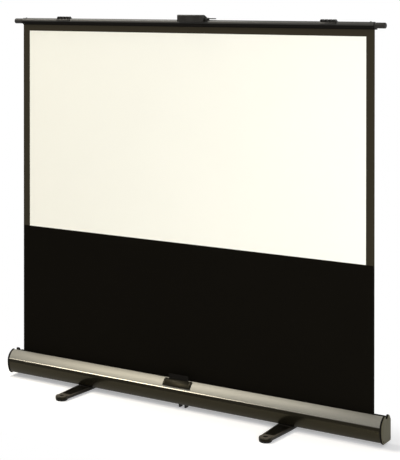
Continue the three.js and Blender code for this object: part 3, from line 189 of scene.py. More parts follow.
def place_origin(obj):
    pick(obj)
    bpy.ops.object.transform_apply(location=True, rotation=True, scale=True)
    return obj


def draw(points, closed):
    """Draws an outline by extruding one corner from point to point."""
    points = [Vector(p) for p in points]
    leave_editing()
    bpy.ops.mesh.primitive_plane_add(size=MM, location=points[0])
    obj = place_origin(bpy.context.object)
    edit(obj, "VERT", everything=True)
    bpy.ops.mesh.merge(type="CENTER")
    for here, there in zip(points, points[1:]):
        bpy.ops.mesh.extrude_vertices_move(TRANSFORM_OT_translate={"value": there - here})
    bpy.ops.mesh.select_all(action="SELECT")
    if closed:
        bpy.ops.mesh.edge_face_add()
    return obj


def face_outwards():
    bpy.ops.mesh.select_all(action="SELECT")
    bpy.ops.mesh.remove_doubles(threshold=2e-6)
    bpy.ops.mesh.normals_make_consistent(inside=False)
    bpy.ops.object.mode_set(mode="OBJECT")


def prism(points, way):
    """Draws a closed outline and extrudes it the given way."""
    obj = draw(points, closed=True)
    bpy.ops.mesh.extrude_region_move(TRANSFORM_OT_translate={"value": Vector(way)})
    face_outwards()
    return obj


def along_x(outline, start, end):
    """A bar along X whose outline is given as (y, z)."""
    return prism([(start, y, z) for y, z in outline], (end - start, 0, 0))


def along_y(outline, start, end):
    """A plate along Y whose outline is given as (x, z)."""
    return prism([(x, start, z) for x, z in outline], (0, end - start, 0))


def upright(outline, low, high):
    """A plate along Z whose outline is given as (x, y)."""
    return prism([(x, y, low) for x, y in outline], (0, 0, high - low))


def lathe(profile, centre, axis, sides=48):
    """Spins a profile of (radius, distance) pairs, which starts and ends on the axis."""
    axis = Vector(axis)
    across = Vector(Z_AXIS if abs(axis.z) < 0.5 else X_AXIS)
    centre = Vector(centre)
    obj = draw([centre + across * r + axis * d for r, d in profile], closed=False)
    bpy.ops.mesh.spin(steps=sides, angle=FULL, center=centre, axis=axis)
    face_outwards()
    return obj


def modified(obj, kind, **settings):
    pick(obj)
    modifier = obj.modifiers.new(kind.title(), kind)
    for key, value in settings.items():
        setattr(modifier, key, value)
    bpy.ops.object.modifier_apply(modifier=modifier.name)
    return obj


def rounded(obj, radius, segments=3, angle=30):
    return modified(
        obj, "BEVEL", width=radius, segments=segments, limit_method="ANGLE", angle_limit=math.radians(angle)
    )


def carved(obj, *cutters):
    for cutter in cutters:
        modified(obj, "BOOLEAN", operation="DIFFERENCE", object=cutter, solver="EXACT")
        bpy.data.objects.remove(cutter)
    return obj


def united(obj, *others):
    for other in others:
        modified(obj, "BOOLEAN", operation="UNION", object=other, solver="EXACT")
        bpy.data.objects.remove(other)
    return obj


def painted(obj, key, chosen):
    """Gives the faces that a test chooses a second finish."""
    obj.data.materials.append(MATERIALS[key])
    for face in obj.data.polygons:
        face.material_index = 1 if chosen(face) else 0


def joined(obj, *others):
    pick(obj)
    for other in others:
        other.select_set(True)
    bpy.ops.object.join()
    return obj


def copied(obj, shift=(0, 0, 0), mirror=False):
    """A copy with its own mesh, moved, or mirrored left to right."""
    pick(obj)
    bpy.ops.object.duplicate()
    twin = bpy.context.object
    if mirror:
        twin.data.transform(Matrix.Scale(-1, 4, X_AXIS))
        twin.data.flip_normals()
    twin.data.transform(Matrix.Translation(Vector(shift)))
    return twin


def both_ends(piece):
    """A right-hand piece and its left-hand twin."""
    return ("right", piece), ("left", copied(piece, mirror=True))


def finished(obj, name, body, key, slot, *nodes, smooth=32):
    """Names a piece, smooths it, gives it its finish and puts it on its body."""
    pick(obj)
    bpy.ops.object.shade_smooth_by_angle(angle=math.radians(smooth))
    leave_editing()
    obj.name = name
    obj.data.name = name
    if key:
        obj.data.materials.clear()
        obj.data.materials.append(MATERIALS[key])
    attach(obj, body)
    if nodes:
        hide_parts(*nodes)
    return obj


def arc(radius_a, radius_b, a, b, start, end, steps=ARC):
    """Points of an elliptical arc about (a, b)."""
    return [
        (
            a + radius_a * math.cos(start + (end - start) * i / steps),
            b + radius_b * math.sin(start + (end - start) * i / steps),
        )
        for i in range(steps + 1)
    ]


def shoulder(radius, start, end, steps=ARC):
    """An arc about the shoulder's centre, with its angles measured up from the front."""
    return arc(-radius, radius, SHOULDER_Y, SHOULDER_Z, start, end, steps)


def belly(offset, bottom, steps=ARC):
    """The case's front below the shoulder, or a line at an offset from it, down to a height."""
    height = BELLY_HEIGHT + offset
    end = math.asin((SHOULDER_Z - bottom) / height)
    return arc(-BELLY_DEPTH - offset, -height, CASE_FRONT + BELLY_DEPTH, SHOULDER_Z, 0, end, steps)


def rod(radius, centre, axis, start, end, sides=24):
    return lathe([(0, start), (radius, start), (radius, end), (0, end)], centre, axis, sides)


def mm(*points):
    """Turns points in millimetres into metres."""
    return [(a * MM, b * MM) for a, b in points]


def rectangle(a, b, c, d):
    """The outline between the opposite corners (a, b) and (c, d)."""
    return [(a, b), (c, b), (c, d), (a, d)]


# Materials


def add_node(material, kind, settings=None, links=None, **values):
    """Adds a node with its settings, its socket values and its links, each by name or number."""
    node = material.node_tree.nodes.new(kind)
    for key, value in (settings or {}).items():
        setattr(node, key, value)
    for key, value in values.items():
        node.inputs[key.replace("_", " ")].default_value = value
    for key, source in (links or {}).items():
        material.node_tree.links.new(source, node.inputs[key])
    return node


WARM = (1.0, 0.87, 0.52, 1.0)  # a brownish cast on the gloss of black coatings
MATERIALS = {}


def surface(key, name, colour, roughness, metallic=0.0, specular=0.5, **sockets):
    """Makes a finish, files it under a key and gives what its grain needs."""
    material = bpy.data.materials.new(name)
    material.use_nodes = True
    shader = material.node_tree.nodes["Principled BSDF"]
    shader.inputs["Base Color"].default_value = (*colour, 1)
    shader.inputs["Roughness"].default_value = roughness
    shader.inputs["Metallic"].default_value = metallic
    shader.inputs["Specular IOR Level"].default_value = specular
    for socket, value in sockets.items():
        shader.inputs[socket.replace("_", " ")].default_value = value
    MATERIALS[key] = material
    return material, shader, colour


def shade(colour, share):
    return [min(1, c * share) for c in colour]


def ramp(material, source, *stops):
    """A colour ramp between two stops, each a position and a colour."""
    node = add_node(material, "ShaderNodeValToRGB", links={"Fac": source.outputs["Fac"]})
    for element, (position, colour) in zip(node.color_ramp.elements, stops):
        element.position = position
        element.color = (*colour, 1)
    return node


def grained(finish, scale, stretch=(1, 1, 1), tone=0.08, rough=(0.3, 0.5), bump=0.05, depth=0.1 * MM):
    """Breaks up the tone, the gloss and the surface with one noise at a real size."""
    material, shader, colour = finish
    place = add_node(material, "ShaderNodeTexCoord")
    spread = add_node(material, "ShaderNodeMapping", links={"Vector": place.outputs["Object"]}, Scale=stretch)
    noise = add_node(
        material,
        "ShaderNodeTexNoise",
        links={"Vector": spread.outputs["Vector"]},
        Scale=scale,
        Detail=4.0,
        Roughness=0.6,
    )
    tones = ramp(material, noise, (0.3, shade(colour, 1 - tone)), (0.7, shade(colour, 1 + tone)))
    gloss = add_node(
        material,
        "ShaderNodeMapRange",
        links={"Value": noise.outputs["Fac"]},
        From_Min=0.3,
        From_Max=0.7,
        To_Min=rough[0],
        To_Max=rough[1],
    )
    relief = add_node(
        material, "ShaderNodeBump", links={"Height": noise.outputs["Fac"]}, Strength=bump, Distance=depth
    )
    links = material.node_tree.links
    links.new(tones.outputs["Color"], shader.inputs["Base Color"])
    links.new(gloss.outputs["Result"], shader.inputs["Roughness"])
    links.new(relief.outputs["Normal"], shader.inputs["Normal"])
    return spread


def woven(finish, tone, spacing=1.4 * MM):
    """Plain weave under a coating, on the cloth's own map, which is in metres."""
    material, shader, colour = finish
    links = material.node_tree.links
    threads = add_node(material, "ShaderNodeUVMap", settings={"uv_map": "cut"})
    # A wave's bands are a twentieth of a full turn apart at scale 1.
    warp, weft = [
        add_node(
            material,
            "ShaderNodeTexWave",
            settings={"bands_direction": way},
            links={"Vector": threads.outputs["UV"]},
            Scale=FULL / 20 / spacing,
        )
        for way in "XY"
    ]
    crossing = add_node(
        material,
        "ShaderNodeMath",
        settings={"operation": "MULTIPLY"},
        links={0: warp.outputs["Fac"], 1: weft.outputs["Fac"]},
    )
    clouds = add_node(
        material, "ShaderNodeTexNoise", links={"Vector": threads.outputs["UV"]}, Scale=1.7, Detail=2.0
    )
    tones = ramp(material, clouds, (0.35, shade(colour, 1 - tone)), (0.65, colour))
    relief = add_node(
        material,
        "ShaderNodeBump",
        links={"Height": crossing.outputs["Value"]},
        Strength=0.08,
        Distance=0.1 * MM,
    )
    links.new(tones.outputs["Color"], shader.inputs["Base Color"])
    links.new(relief.outputs["Normal"], shader.inputs["Normal"])


def make_materials():
    colours = bpy.context.scene.screen_colours

    # Coated glass-fibre cloth, rolled matt: an even white with no sparkle
    finish = surface("white", "matt_white_coated_cloth", colours.white, roughness=0.9, specular=0.15)
    woven(finish, tone=0.012)

    # The same cloth printed black: a brownish black with a faint sheen
    finish = surface(
        "border", "black_printed_cloth", colours.border, roughness=0.5, specular=0.26, Specular_Tint=WARM
    )
    woven(finish, tone=0.08)

    # The same cloth dyed through: a deep black that gives back almost nothing
    finish = surface("skirt", "deep_black_coated_cloth", colours.skirt, roughness=0.95, specular=0.03)
    woven(finish, tone=0.08)

    # Blackout coating on the cloth's rear, sprayed: dull and slightly grey
    finish = surface("rear", "sprayed_black_coating", linear("1A1A18"), roughness=0.85, specular=0.2)
    woven(finish, tone=0.1)

    # Anodised aluminium brushed along its length: long hair lines, drawn 3 mm coarse to show
    finish = surface(
        "silver", "brushed_anodised_aluminium", colours.silver, roughness=0.42, metallic=1.0, Anisotropic=0.95
    )
    grained(finish, scale=330, stretch=(0.012, 1, 1), tone=0.05, rough=(0.42, 0.48), bump=0.08)
    # The brush marks run along X, so their gloss spreads round the cover.
    brushed, shader = finish[:2]
    across = add_node(brushed, "ShaderNodeTangent", settings={"direction_type": "RADIAL", "axis": "X"})
    brushed.node_tree.links.new(across.outputs["Tangent"], shader.inputs["Tangent"])

    # The same aluminium polished by the roller that forms the bead: a clean bright line
    finish = surface("bead", "burnished_aluminium", linear("6B6962"), roughness=0.3, metallic=1.0)
    grained(finish, scale=330, stretch=(0.012, 1, 1), tone=0.03, rough=(0.16, 0.22), bump=0.02)

    # Aluminium extrusion, powder coated black: smooth and mildly glossy, with faint die lines
    finish = surface(
        "black", "powder_coated_aluminium", colours.black, roughness=0.22, specular=0.26, Specular_Tint=WARM
    )
    grained(finish, scale=260, stretch=(0.02, 1, 1), tone=0.1, rough=(0.16, 0.24), bump=0.02)

    # The strip under the bead is darker and duller than the case: a painted dark reflection, so that the
    # bright bead stands out
    finish = surface(
        "strip", "painted_dark_reflection_strip", linear("0E0C09"), roughness=0.4, specular=0.15, Specular_Tint=WARM
    )
    grained(finish, scale=260, stretch=(0.02, 1, 1), tone=0.1, rough=(0.36, 0.46), bump=0.02)

    # The bar has the same coating, left duller by the hand that lifts it
    finish = surface("bar", "worn_powder_coated_aluminium", linear("1F1E1A"), roughness=0.42, specular=0.32)
    grained(finish, scale=240, stretch=(0.02, 1, 1), tone=0.1, rough=(0.36, 0.5), bump=0.05)

    # Painted shade: a darker matt black, put under the bar, round the caps' rims and on the catch's tongue,
    # so that they give nothing back beside the cloth
    finish = surface("recess", "painted_shade_matt_black", linear("0D0B08"), roughness=0.8, specular=0.08)
    grained(finish, scale=400, tone=0.15, rough=(0.75, 0.9), bump=0.1)

    # Black ABS, moulded with a fine spark texture
    finish = surface("moulding", "fine_textured_moulded_abs", colours.moulding, roughness=0.5, specular=0.25)
    grained(finish, scale=900, tone=0.12, rough=(0.38, 0.55), bump=0.2)

    # The same moulding in grey-green
    finish = surface("cap", "grey_moulded_abs", colours.cap, roughness=0.45, specular=0.3, Specular_Tint=WARM)
    grained(finish, scale=700, tone=0.08, rough=(0.38, 0.55), bump=0.15)

    # Black nylon moulding: the catch and the feet's sides, which the mould leaves smooth and deep black
    finish = surface(
        "gloss", "smooth_moulded_nylon", linear("080705"), roughness=0.35, specular=0.12, Specular_Tint=WARM
    )
    grained(finish, scale=120, tone=0.15, rough=(0.3, 0.42), bump=0.04)

    # The same nylon, spark-textured on top; its lighter grey there is painted light from above, and it
    # darkens towards the case as painted shade
    finish = surface("tread", "textured_nylon_painted_light_shade", linear("4E493F"), roughness=0.55, specular=0.2)
    spread = grained(finish, scale=500, tone=0.15, rough=(0.48, 0.62), bump=0.2)
    textured, shader = finish[:2]
    place = add_node(textured, "ShaderNodeSeparateXYZ", links={"Vector": spread.outputs["Vector"]})
    # Painted shade: the colour is scaled down from the ends towards the case
    reach = add_node(
        textured, "ShaderNodeMath", settings={"operation": "ABSOLUTE"}, links={"Value": place.outputs["Y"]}
    )
    case_shade = add_node(
        textured,
        "ShaderNodeMapRange",
        links={"Value": reach.outputs["Value"]},
        From_Min=0.09,
        From_Max=0.19,
        To_Min=0.2,
        To_Max=1.0,
    )
    tones = shader.inputs["Base Color"].links[0].from_node
    shaded_tones = add_node(
        textured,
        "ShaderNodeVectorMath",
        settings={"operation": "SCALE"},
        links={"Vector": tones.outputs["Color"], "Scale": case_shade.outputs["Result"]},
    )
    textured.node_tree.links.new(shaded_tones.outputs["Vector"], shader.inputs["Base Color"])

    # Moulded rubber: dull, with a dusty bloom
    finish = surface("rubber", "moulded_rubber", linear("191917"), roughness=0.8, specular=0.3)
    grained(finish, scale=400, tone=0.25, rough=(0.7, 0.9), bump=0.25)

    # Steel with bright zinc plating: cloudy grey
    finish = surface("steel", "zinc_plated_steel", linear("A6A5A0"), roughness=0.35, metallic=1.0)
    grained(finish, scale=160, tone=0.1, rough=(0.28, 0.46), bump=0.05)

    # Steel with a black oxide finish: the screws and the lever
    finish = surface("oxide", "black_oxide_steel", linear("1C1B18"), roughness=0.5, metallic=0.5)
    grained(finish, scale=300, tone=0.15, rough=(0.4, 0.6), bump=0.08)

    # Drawn aluminium, as it comes from the mill, for the arms and the roller's tube: faint drawing lines
    finish = surface("arm", "drawn_aluminium_bar", linear("9C9B96"), roughness=0.4, metallic=1.0)
    grained(finish, scale=220, stretch=(0.03, 1, 0.03), tone=0.07, rough=(0.32, 0.5), bump=0.06)

    # Pressed wool felt: no shine at all
    finish = surface("felt", "pressed_wool_felt", linear("14120E"), roughness=1.0, specular=0.05)
    grained(finish, scale=800, tone=0.4, rough=(0.95, 1.0), bump=0.6, depth=0.4 * MM)


def recoat(node, key):
    """Gives a CAD node its finish."""
    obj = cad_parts[node]
    obj.data.materials.clear()
    obj.data.materials.append(MATERIALS[key])


# Pieces


class ScreenOperator:
    """Builds one group of pieces in the user's sizes"""

    bl_options = {"REGISTER", "UNDO"}

    def execute(self, context):
        self.build(context.scene.screen_sizes)
        leave_editing()
        return {"FINISHED"}


class SCREEN_OT_finishes(ScreenOperator, bpy.types.Operator):
    """Makes the finishes that all the pieces share"""

    bl_idname = "screen.finishes"
    bl_label = "Finishes"

    def build(self, sizes):
        make_materials()


def laid_out(cloth, flat):
    """Gives a cloth a map in metres, from each corner's place to its place on the flat sheet."""
    cut = cloth.data.uv_layers.get("cut") or cloth.data.uv_layers.new(name="cut")
    for loop in cloth.data.loops:
        cut.data[loop.index].uv = flat(cloth.data.vertices[loop.vertex_index].co)


class SCREEN_OT_cloth(ScreenOperator, bpy.types.Operator):
    """Makes the taut cloth and what is left of it on the roller"""

    bl_idname = "screen.cloth"
    bl_label = "Screen cloth"

    def build(self, sizes):
        self.taut(sizes)
        self.wound(sizes.cloth_thickness)

    def taut(self, sizes):
        width = CLOTH_HIGH.x - CLOTH_LOW.x
        height = CLOTH_HIGH.z - CLOTH_LOW.z
        half_white = sizes.white_width / 2
        leave_editing()
        bpy.ops.mesh.primitive_grid_add(
            x_subdivisions=64,
            y_subdivisions=56,
            size=1,
            location=(0, CLOTH_Y, (CLOTH_HIGH.z + CLOTH_LOW.z) / 2),
            rotation=(QUARTER, 0, 0),
        )
        cloth = bpy.context.object
        cloth.scale = (width, height, 1)
        place_origin(cloth)
        cuts = [((x, 0, 0), X_AXIS) for x in (-half_white, half_white)]
        cuts += [((0, 0, z), Z_AXIS) for z in (sizes.white_bottom, sizes.white_top)]
        for point, normal in cuts:
            edit(cloth, everything=True)
            bpy.ops.mesh.bisect(plane_co=point, plane_no=normal)
        bpy.ops.object.mode_set(mode="OBJECT")
        # Three finishes in front, and the coating behind each of them
        for key in ("white", "border", "skirt", "rear", "rear", "rear"):
            cloth.data.materials.append(MATERIALS[key])
        laid_out(cloth, lambda place: (place.x, place.z))
        for face in cloth.data.polygons:
            if face.center.z < sizes.white_bottom:
                face.material_index = 2
            elif face.center.z > sizes.white_top or abs(face.center.x) > half_white:
                face.material_index = 1
            else:
                face.material_index = 0
        # Slow waves, which die out at the bar and at the roller
        for vertex in cloth.data.vertices:
            share = (vertex.co.z - CLOTH_LOW.z) / height
            hold = math.sin(math.pi * share) * sizes.cloth_wave
            across = vertex.co.x / width
            vertex.co.y += hold * (math.sin(7 * across) + 0.5 * math.sin(17 * across + 1))
        modified(cloth, "SOLIDIFY", thickness=sizes.cloth_thickness, offset=0, material_offset=3)
        finished(cloth, "screen_cloth", BODY, None, "screen_fabric", "projection_fabric", smooth=20)
        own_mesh(cloth)

    def wound(self, thickness):
        """Two turns of the same cloth on the tube."""
        width = CLOTH_HIGH.x - CLOTH_LOW.x
        tube = 18.8 * MM
        turns = 2
        steps = 96
        # The turns are 1.1 thicknesses apart and the cloth 0.9 thick, so that they don't touch.
        spiral = []
        for i in range(steps + 1):
            turn = turns * i / steps
            radius = tube + 1.1 * thickness * turn
            y, z = radius * math.cos(FULL * turn), radius * math.sin(FULL * turn)
            spiral.append((ROLL_LOW.x, ROLLER.y + y, ROLLER.z + z))
        roll = draw(spiral, closed=False)
        bpy.ops.mesh.extrude_region_move(TRANSFORM_OT_translate={"value": Vector((width, 0, 0))})
        bpy.ops.mesh.select_all(action="SELECT")
        bpy.ops.mesh.normals_make_consistent(inside=False)
        bpy.ops.object.mode_set(mode="OBJECT")
        laid_out(roll, lambda place: (place.x, tube * math.atan2(place.z - ROLLER.z, place.y - ROLLER.y)))
        modified(roll, "SOLIDIFY", thickness=0.9 * thickness, offset=0)
        finished(roll, "cloth_on_roller", "roller", "skirt", "black_cloth", "fabric_wraps")


def screw_ports():
    """Where the case's screw ports are, as (y, z)."""
    z = CASE_BOTTOM + WALL + PORT_INSET
    return {
        "rear": (CASE_REAR - WALL - PORT_INSET, z),
        "front": (belly(0, CASE_BOTTOM)[-1][0] + PORT_INSET, z),
    }


def rail(middle, base, way):
    """Both lips of a rail that stands up from its base, or hangs down from it."""
    lips = [(way * a, b) for a, b in RAIL_LIP] + [(-way * a, b) for a, b in reversed(RAIL_LIP)]
    return [(middle + a * MM, base + way * b * MM) for a, b in lips]


def shell_outline():
    """The lower body's section: a trough with two screw ports, a rail and a tongue behind the cover."""
    seam = math.asin(SEAM_RISE / SHOULDER_RADIUS)
    tongue = math.asin((SEAM_RISE + SEAM_LAP) / SHOULDER_RADIUS)
    floor = CASE_BOTTOM + WALL
    port = 2 * PORT_INSET
    rear = CASE_REAR - WALL
    foot = belly(0, CASE_BOTTOM)[-1][0]
    corner = 5 * MM
    return [
        *shoulder(SHOULDER_RADIUS, seam, 0, steps=6)[:-1],
        *belly(0, CASE_BOTTOM),
        *arc(corner, corner, CASE_REAR - corner, CASE_BOTTOM + corner, -QUARTER, 0, steps=6),
        (CASE_REAR, CASE_HIGH.z),
        (rear, CASE_HIGH.z),
        (rear, floor + port),
        (rear - port, floor + port),
        (rear - port, floor),
        *rail(CASE_RAIL_Y, floor, 1),
        (foot + port, floor),
        (foot + port, floor + port),
        *reversed(belly(-WALL, floor + port)),
        *shoulder(SHOULDER_RADIUS - WALL, 0, tongue, steps=6)[1:],
        *shoulder(SHOULDER_RADIUS - WALL + TONGUE, tongue, seam, steps=4),
    ]


class SCREEN_OT_case(ScreenOperator, bpy.types.Operator):
    """Makes the case's lower body and its brushed cover"""

    bl_idname = "screen.case"
    bl_label = "Case"

    def build(self, sizes):
        shell = along_x(shell_outline(), -CASE_HALF, CASE_HALF)
        ports = [
            rod(PORT_RADIUS, (0, y, z), X_AXIS, -CASE_HALF - WALL, CASE_HALF + WALL, sides=12)
            for y, z in screw_ports().values()
        ]
        pivots = [rod(PIVOT_HOLE, (x, 0, 0), Z_AXIS, THROUGH / 2, THROUGH) for x in (-FOOT_X, FOOT_X)]
        carved(shell, *ports, *pivots)
        finished(shell, "case_shell", BODY, "black", "black_extrusion", "case_body")
        # Painted dark reflection: the front faces just under the bead take the darker, duller strip finish
        painted_strip_low = SHOULDER_Z - 2 * MM
        painted(shell, "strip", lambda face: face.center.z > painted_strip_low and face.center.y < 0)

        gap = 0.3 * MM
        outer = SHOULDER_RADIUS + 0.6 * MM
        inner = SHOULDER_RADIUS - WALL
        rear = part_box("front_cover")[1].y
        lip = SHOULDER_Z + outer - 14 * MM
        seam = math.asin((SEAM_RISE + gap) / SHOULDER_RADIUS)
        tongue = math.asin((SEAM_RISE + SEAM_LAP + gap) / SHOULDER_RADIUS)
        # The bead is flat for 0.9 mm, then slopes back at about 40 degrees: that throws one bright line.
        slope = seam + 0.9 * MM / outer
        end = slope + 2.6 * MM / outer
        bead_y, bead_z = shoulder(outer, end, end, steps=1)[0]
        outline = [
            *shoulder(outer + sizes.bead_height, seam, slope, steps=2),
            *shoulder(outer, end, math.acos((SHOULDER_Y - rear) / outer), steps=3 * ARC),
            (rear, lip),
            (rear - WALL, lip),
            *shoulder(inner, math.acos((SHOULDER_Y - rear + WALL) / inner), tongue, steps=3 * ARC),
            *shoulder(inner + TONGUE + gap, tongue, seam, steps=4),
        ]
        cover = along_x(outline, -CASE_HALF, CASE_HALF)
        finished(cover, "brushed_cover", BODY, "silver", "silver_cover", "front_cover", smooth=20)
        painted(cover, "bead", lambda face: face.center.z < bead_z and face.center.y < bead_y + 0.5 * MM)


class SCREEN_OT_catch(ScreenOperator, bpy.types.Operator):
    """Makes the plain catch block over the cover, with its tongue"""

    bl_idname = "screen.catch"
    bl_label = "Bar catch"

    def build(self, sizes):
        low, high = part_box("bar_catch")
        inner = SHOULDER_RADIUS + 0.9 * MM
        outer = inner + 5 * MM
        start = math.asin(21 * MM / inner)
        end = math.acos((SHOULDER_Y + 21 * MM) / outer)
        block = along_x([*shoulder(outer, start, end), *shoulder(inner, end, start)], low.x, high.x)
        rounded(block, sizes.edge_radius)
        # A shallow plain panel in the block's face, 9 mm in from its sides and 0.14 radians from its ends
        margin = 9 * MM
        first, last = start + 0.14, end - 0.14
        outline = [*shoulder(outer + 1 * MM, first, last), *shoulder(outer - 0.7 * MM, last, first)]
        panel = along_x(outline, low.x + margin, high.x - margin)
        carved(block, rounded(panel, 0.4 * MM, segments=2))
        root = 116 * MM
        half = 52 * MM
        middle = (low.x + high.x) / 2
        tongue = along_x(rectangle(-23.5 * MM, root, -21 * MM, high.z), middle - half, middle + half)
        rounded(tongue, 0.8 * MM)
        united(block, tongue)
        finished(block, "bar_catch_block", BODY, "gloss", "black_plastic", "bar_catch")
        # Painted shade: the faces above the tongue's root plus 12 mm take the dark matt finish
        painted(block, "recess", lambda face: face.center.z > root + 12 * MM)


def cap_outline():
    """The cap's section: a little proud of the case, with a notch for the bar and a horn behind it."""
    proud = 2 * MM
    radius = SHOULDER_RADIUS + proud
    notch = 13 * MM
    seat = 126 * MM
    bottom = CASE_BOTTOM - 7 * MM
    rear = CASE_REAR + proud
    corner = 7 * MM
    foot = CLOTH_Y + notch
    return [
        *shoulder(radius, math.acos((SHOULDER_Y - CLOTH_Y + notch) / radius), 0, steps=2 * ARC)[:-1],
        *belly(proud, bottom),
        *arc(corner, corner, rear - corner, bottom + corner, -QUARTER, 0, steps=6),
        (rear, CASE_HIGH.z - 10 * MM),
        (foot + 15 * MM, seat - proud),
        (foot + 6 * MM, seat + proud),
        (foot, seat),
        *arc(notch, notch, CLOTH_Y, seat, 0, -math.pi)[1:],
    ]


class SCREEN_OT_caps(ScreenOperator, bpy.types.Operator):
    """Makes both end caps and their screws"""

    bl_idname = "screen.caps"
    bl_label = "End caps"

    def build(self, sizes):
        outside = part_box("end_cap_right")[1].x
        seat = outside - 1.8 * MM
        bite = 1 * MM  # of the boss and the tab in the plate
        plate = along_x(cap_outline(), CASE_HALF, outside)
        rounded(plate, sizes.edge_radius)
        # A boss round the roller's axle, and a tab that lies against the rear wall
        axle = (0, ROLLER.y, ROLLER.z)
        boss = rod(9 * MM, axle, X_AXIS, CASE_HALF - 14 * MM, CASE_HALF + bite, sides=32)
        tab = along_x(mm(*rectangle(44.7, 59, 46.7, 89)), CASE_HALF - 16 * MM, CASE_HALF + bite)
        cap = united(plate, boss, tab)
        bearing = rod(4.3 * MM, axle, X_AXIS, CASE_HALF - 20 * MM, CASE_HALF)
        # A screw's hole opens into a recess for its head.
        start, step, end = CASE_HALF - bite, seat - 0.3 * MM, outside + 4 * MM
        head = 3.7 * MM
        well = [(0, start), (PORT_RADIUS, start), (PORT_RADIUS, step), (head, step), (head, end), (0, end)]
        ports = screw_ports()
        carved(cap, bearing, *[lathe(well, (0, y, z), X_AXIS, sides=24) for y, z in ports.values()])
        for end, twin in both_ends(cap):
            finished(twin, f"cap_{end}", BODY, "cap", "cap_plastic", f"end_cap_{end}")
            # Only the outer face keeps the moulding's colour; the rim takes the dark matt finish as painted
            # shade.
            way = 1 if end == "right" else -1
            painted(twin, "recess", lambda face: way * face.normal.x <= FACING)
        for place, (y, z) in ports.items():
            screw = screw_piece((0, y, z), X_AXIS, seat, radius=1.5, length=14, head=3.4, height=1.8)
            for end, twin in both_ends(screw):
                name = f"cap_screw_{end}_{place}"
                finished(twin, f"{name}_head", BODY, "oxide", "steel", name)


def dome(radius, base, height):
    """A dome's profile, from its rim nearly to its top."""
    return [(radius * math.cos(a), base + height * math.sin(a)) for a in (0, 0.3, 0.6, 0.9, 1.2)]


def screw_piece(centre, axis, seat, radius, length, head, height):
    """A pan-headed screw with a cross recess; radius, length, head and height are in millimetres."""
    radius, length, head, height = (size * MM for size in (radius, length, head, height))
    shank = [(0, seat - length), (radius, seat - length), (radius, seat), (head, seat)]
    pan = dome(head, seat + 0.3 * height, 0.7 * height)
    screw = lathe([*shank, *pan, (0, seat + height)], centre, axis, sides=24)
    axis = Vector(axis)
    top = Vector(centre) + axis * (seat + height)
    slots = []
    for across in (Vector((axis.y, axis.z, axis.x)), Vector((axis.z, axis.x, axis.y))):
        leave_editing()
        bpy.ops.mesh.primitive_cube_add(size=1, location=top)
        slot = bpy.context.object
        slot.scale = [
            0.9 * height * abs(a) + 1.1 * head * abs(b) + 0.26 * head * (1 - abs(a) - abs(b))
            for a, b in zip(axis, across)
        ]
        slots.append(place_origin(slot))
    return carved(screw, *slots)


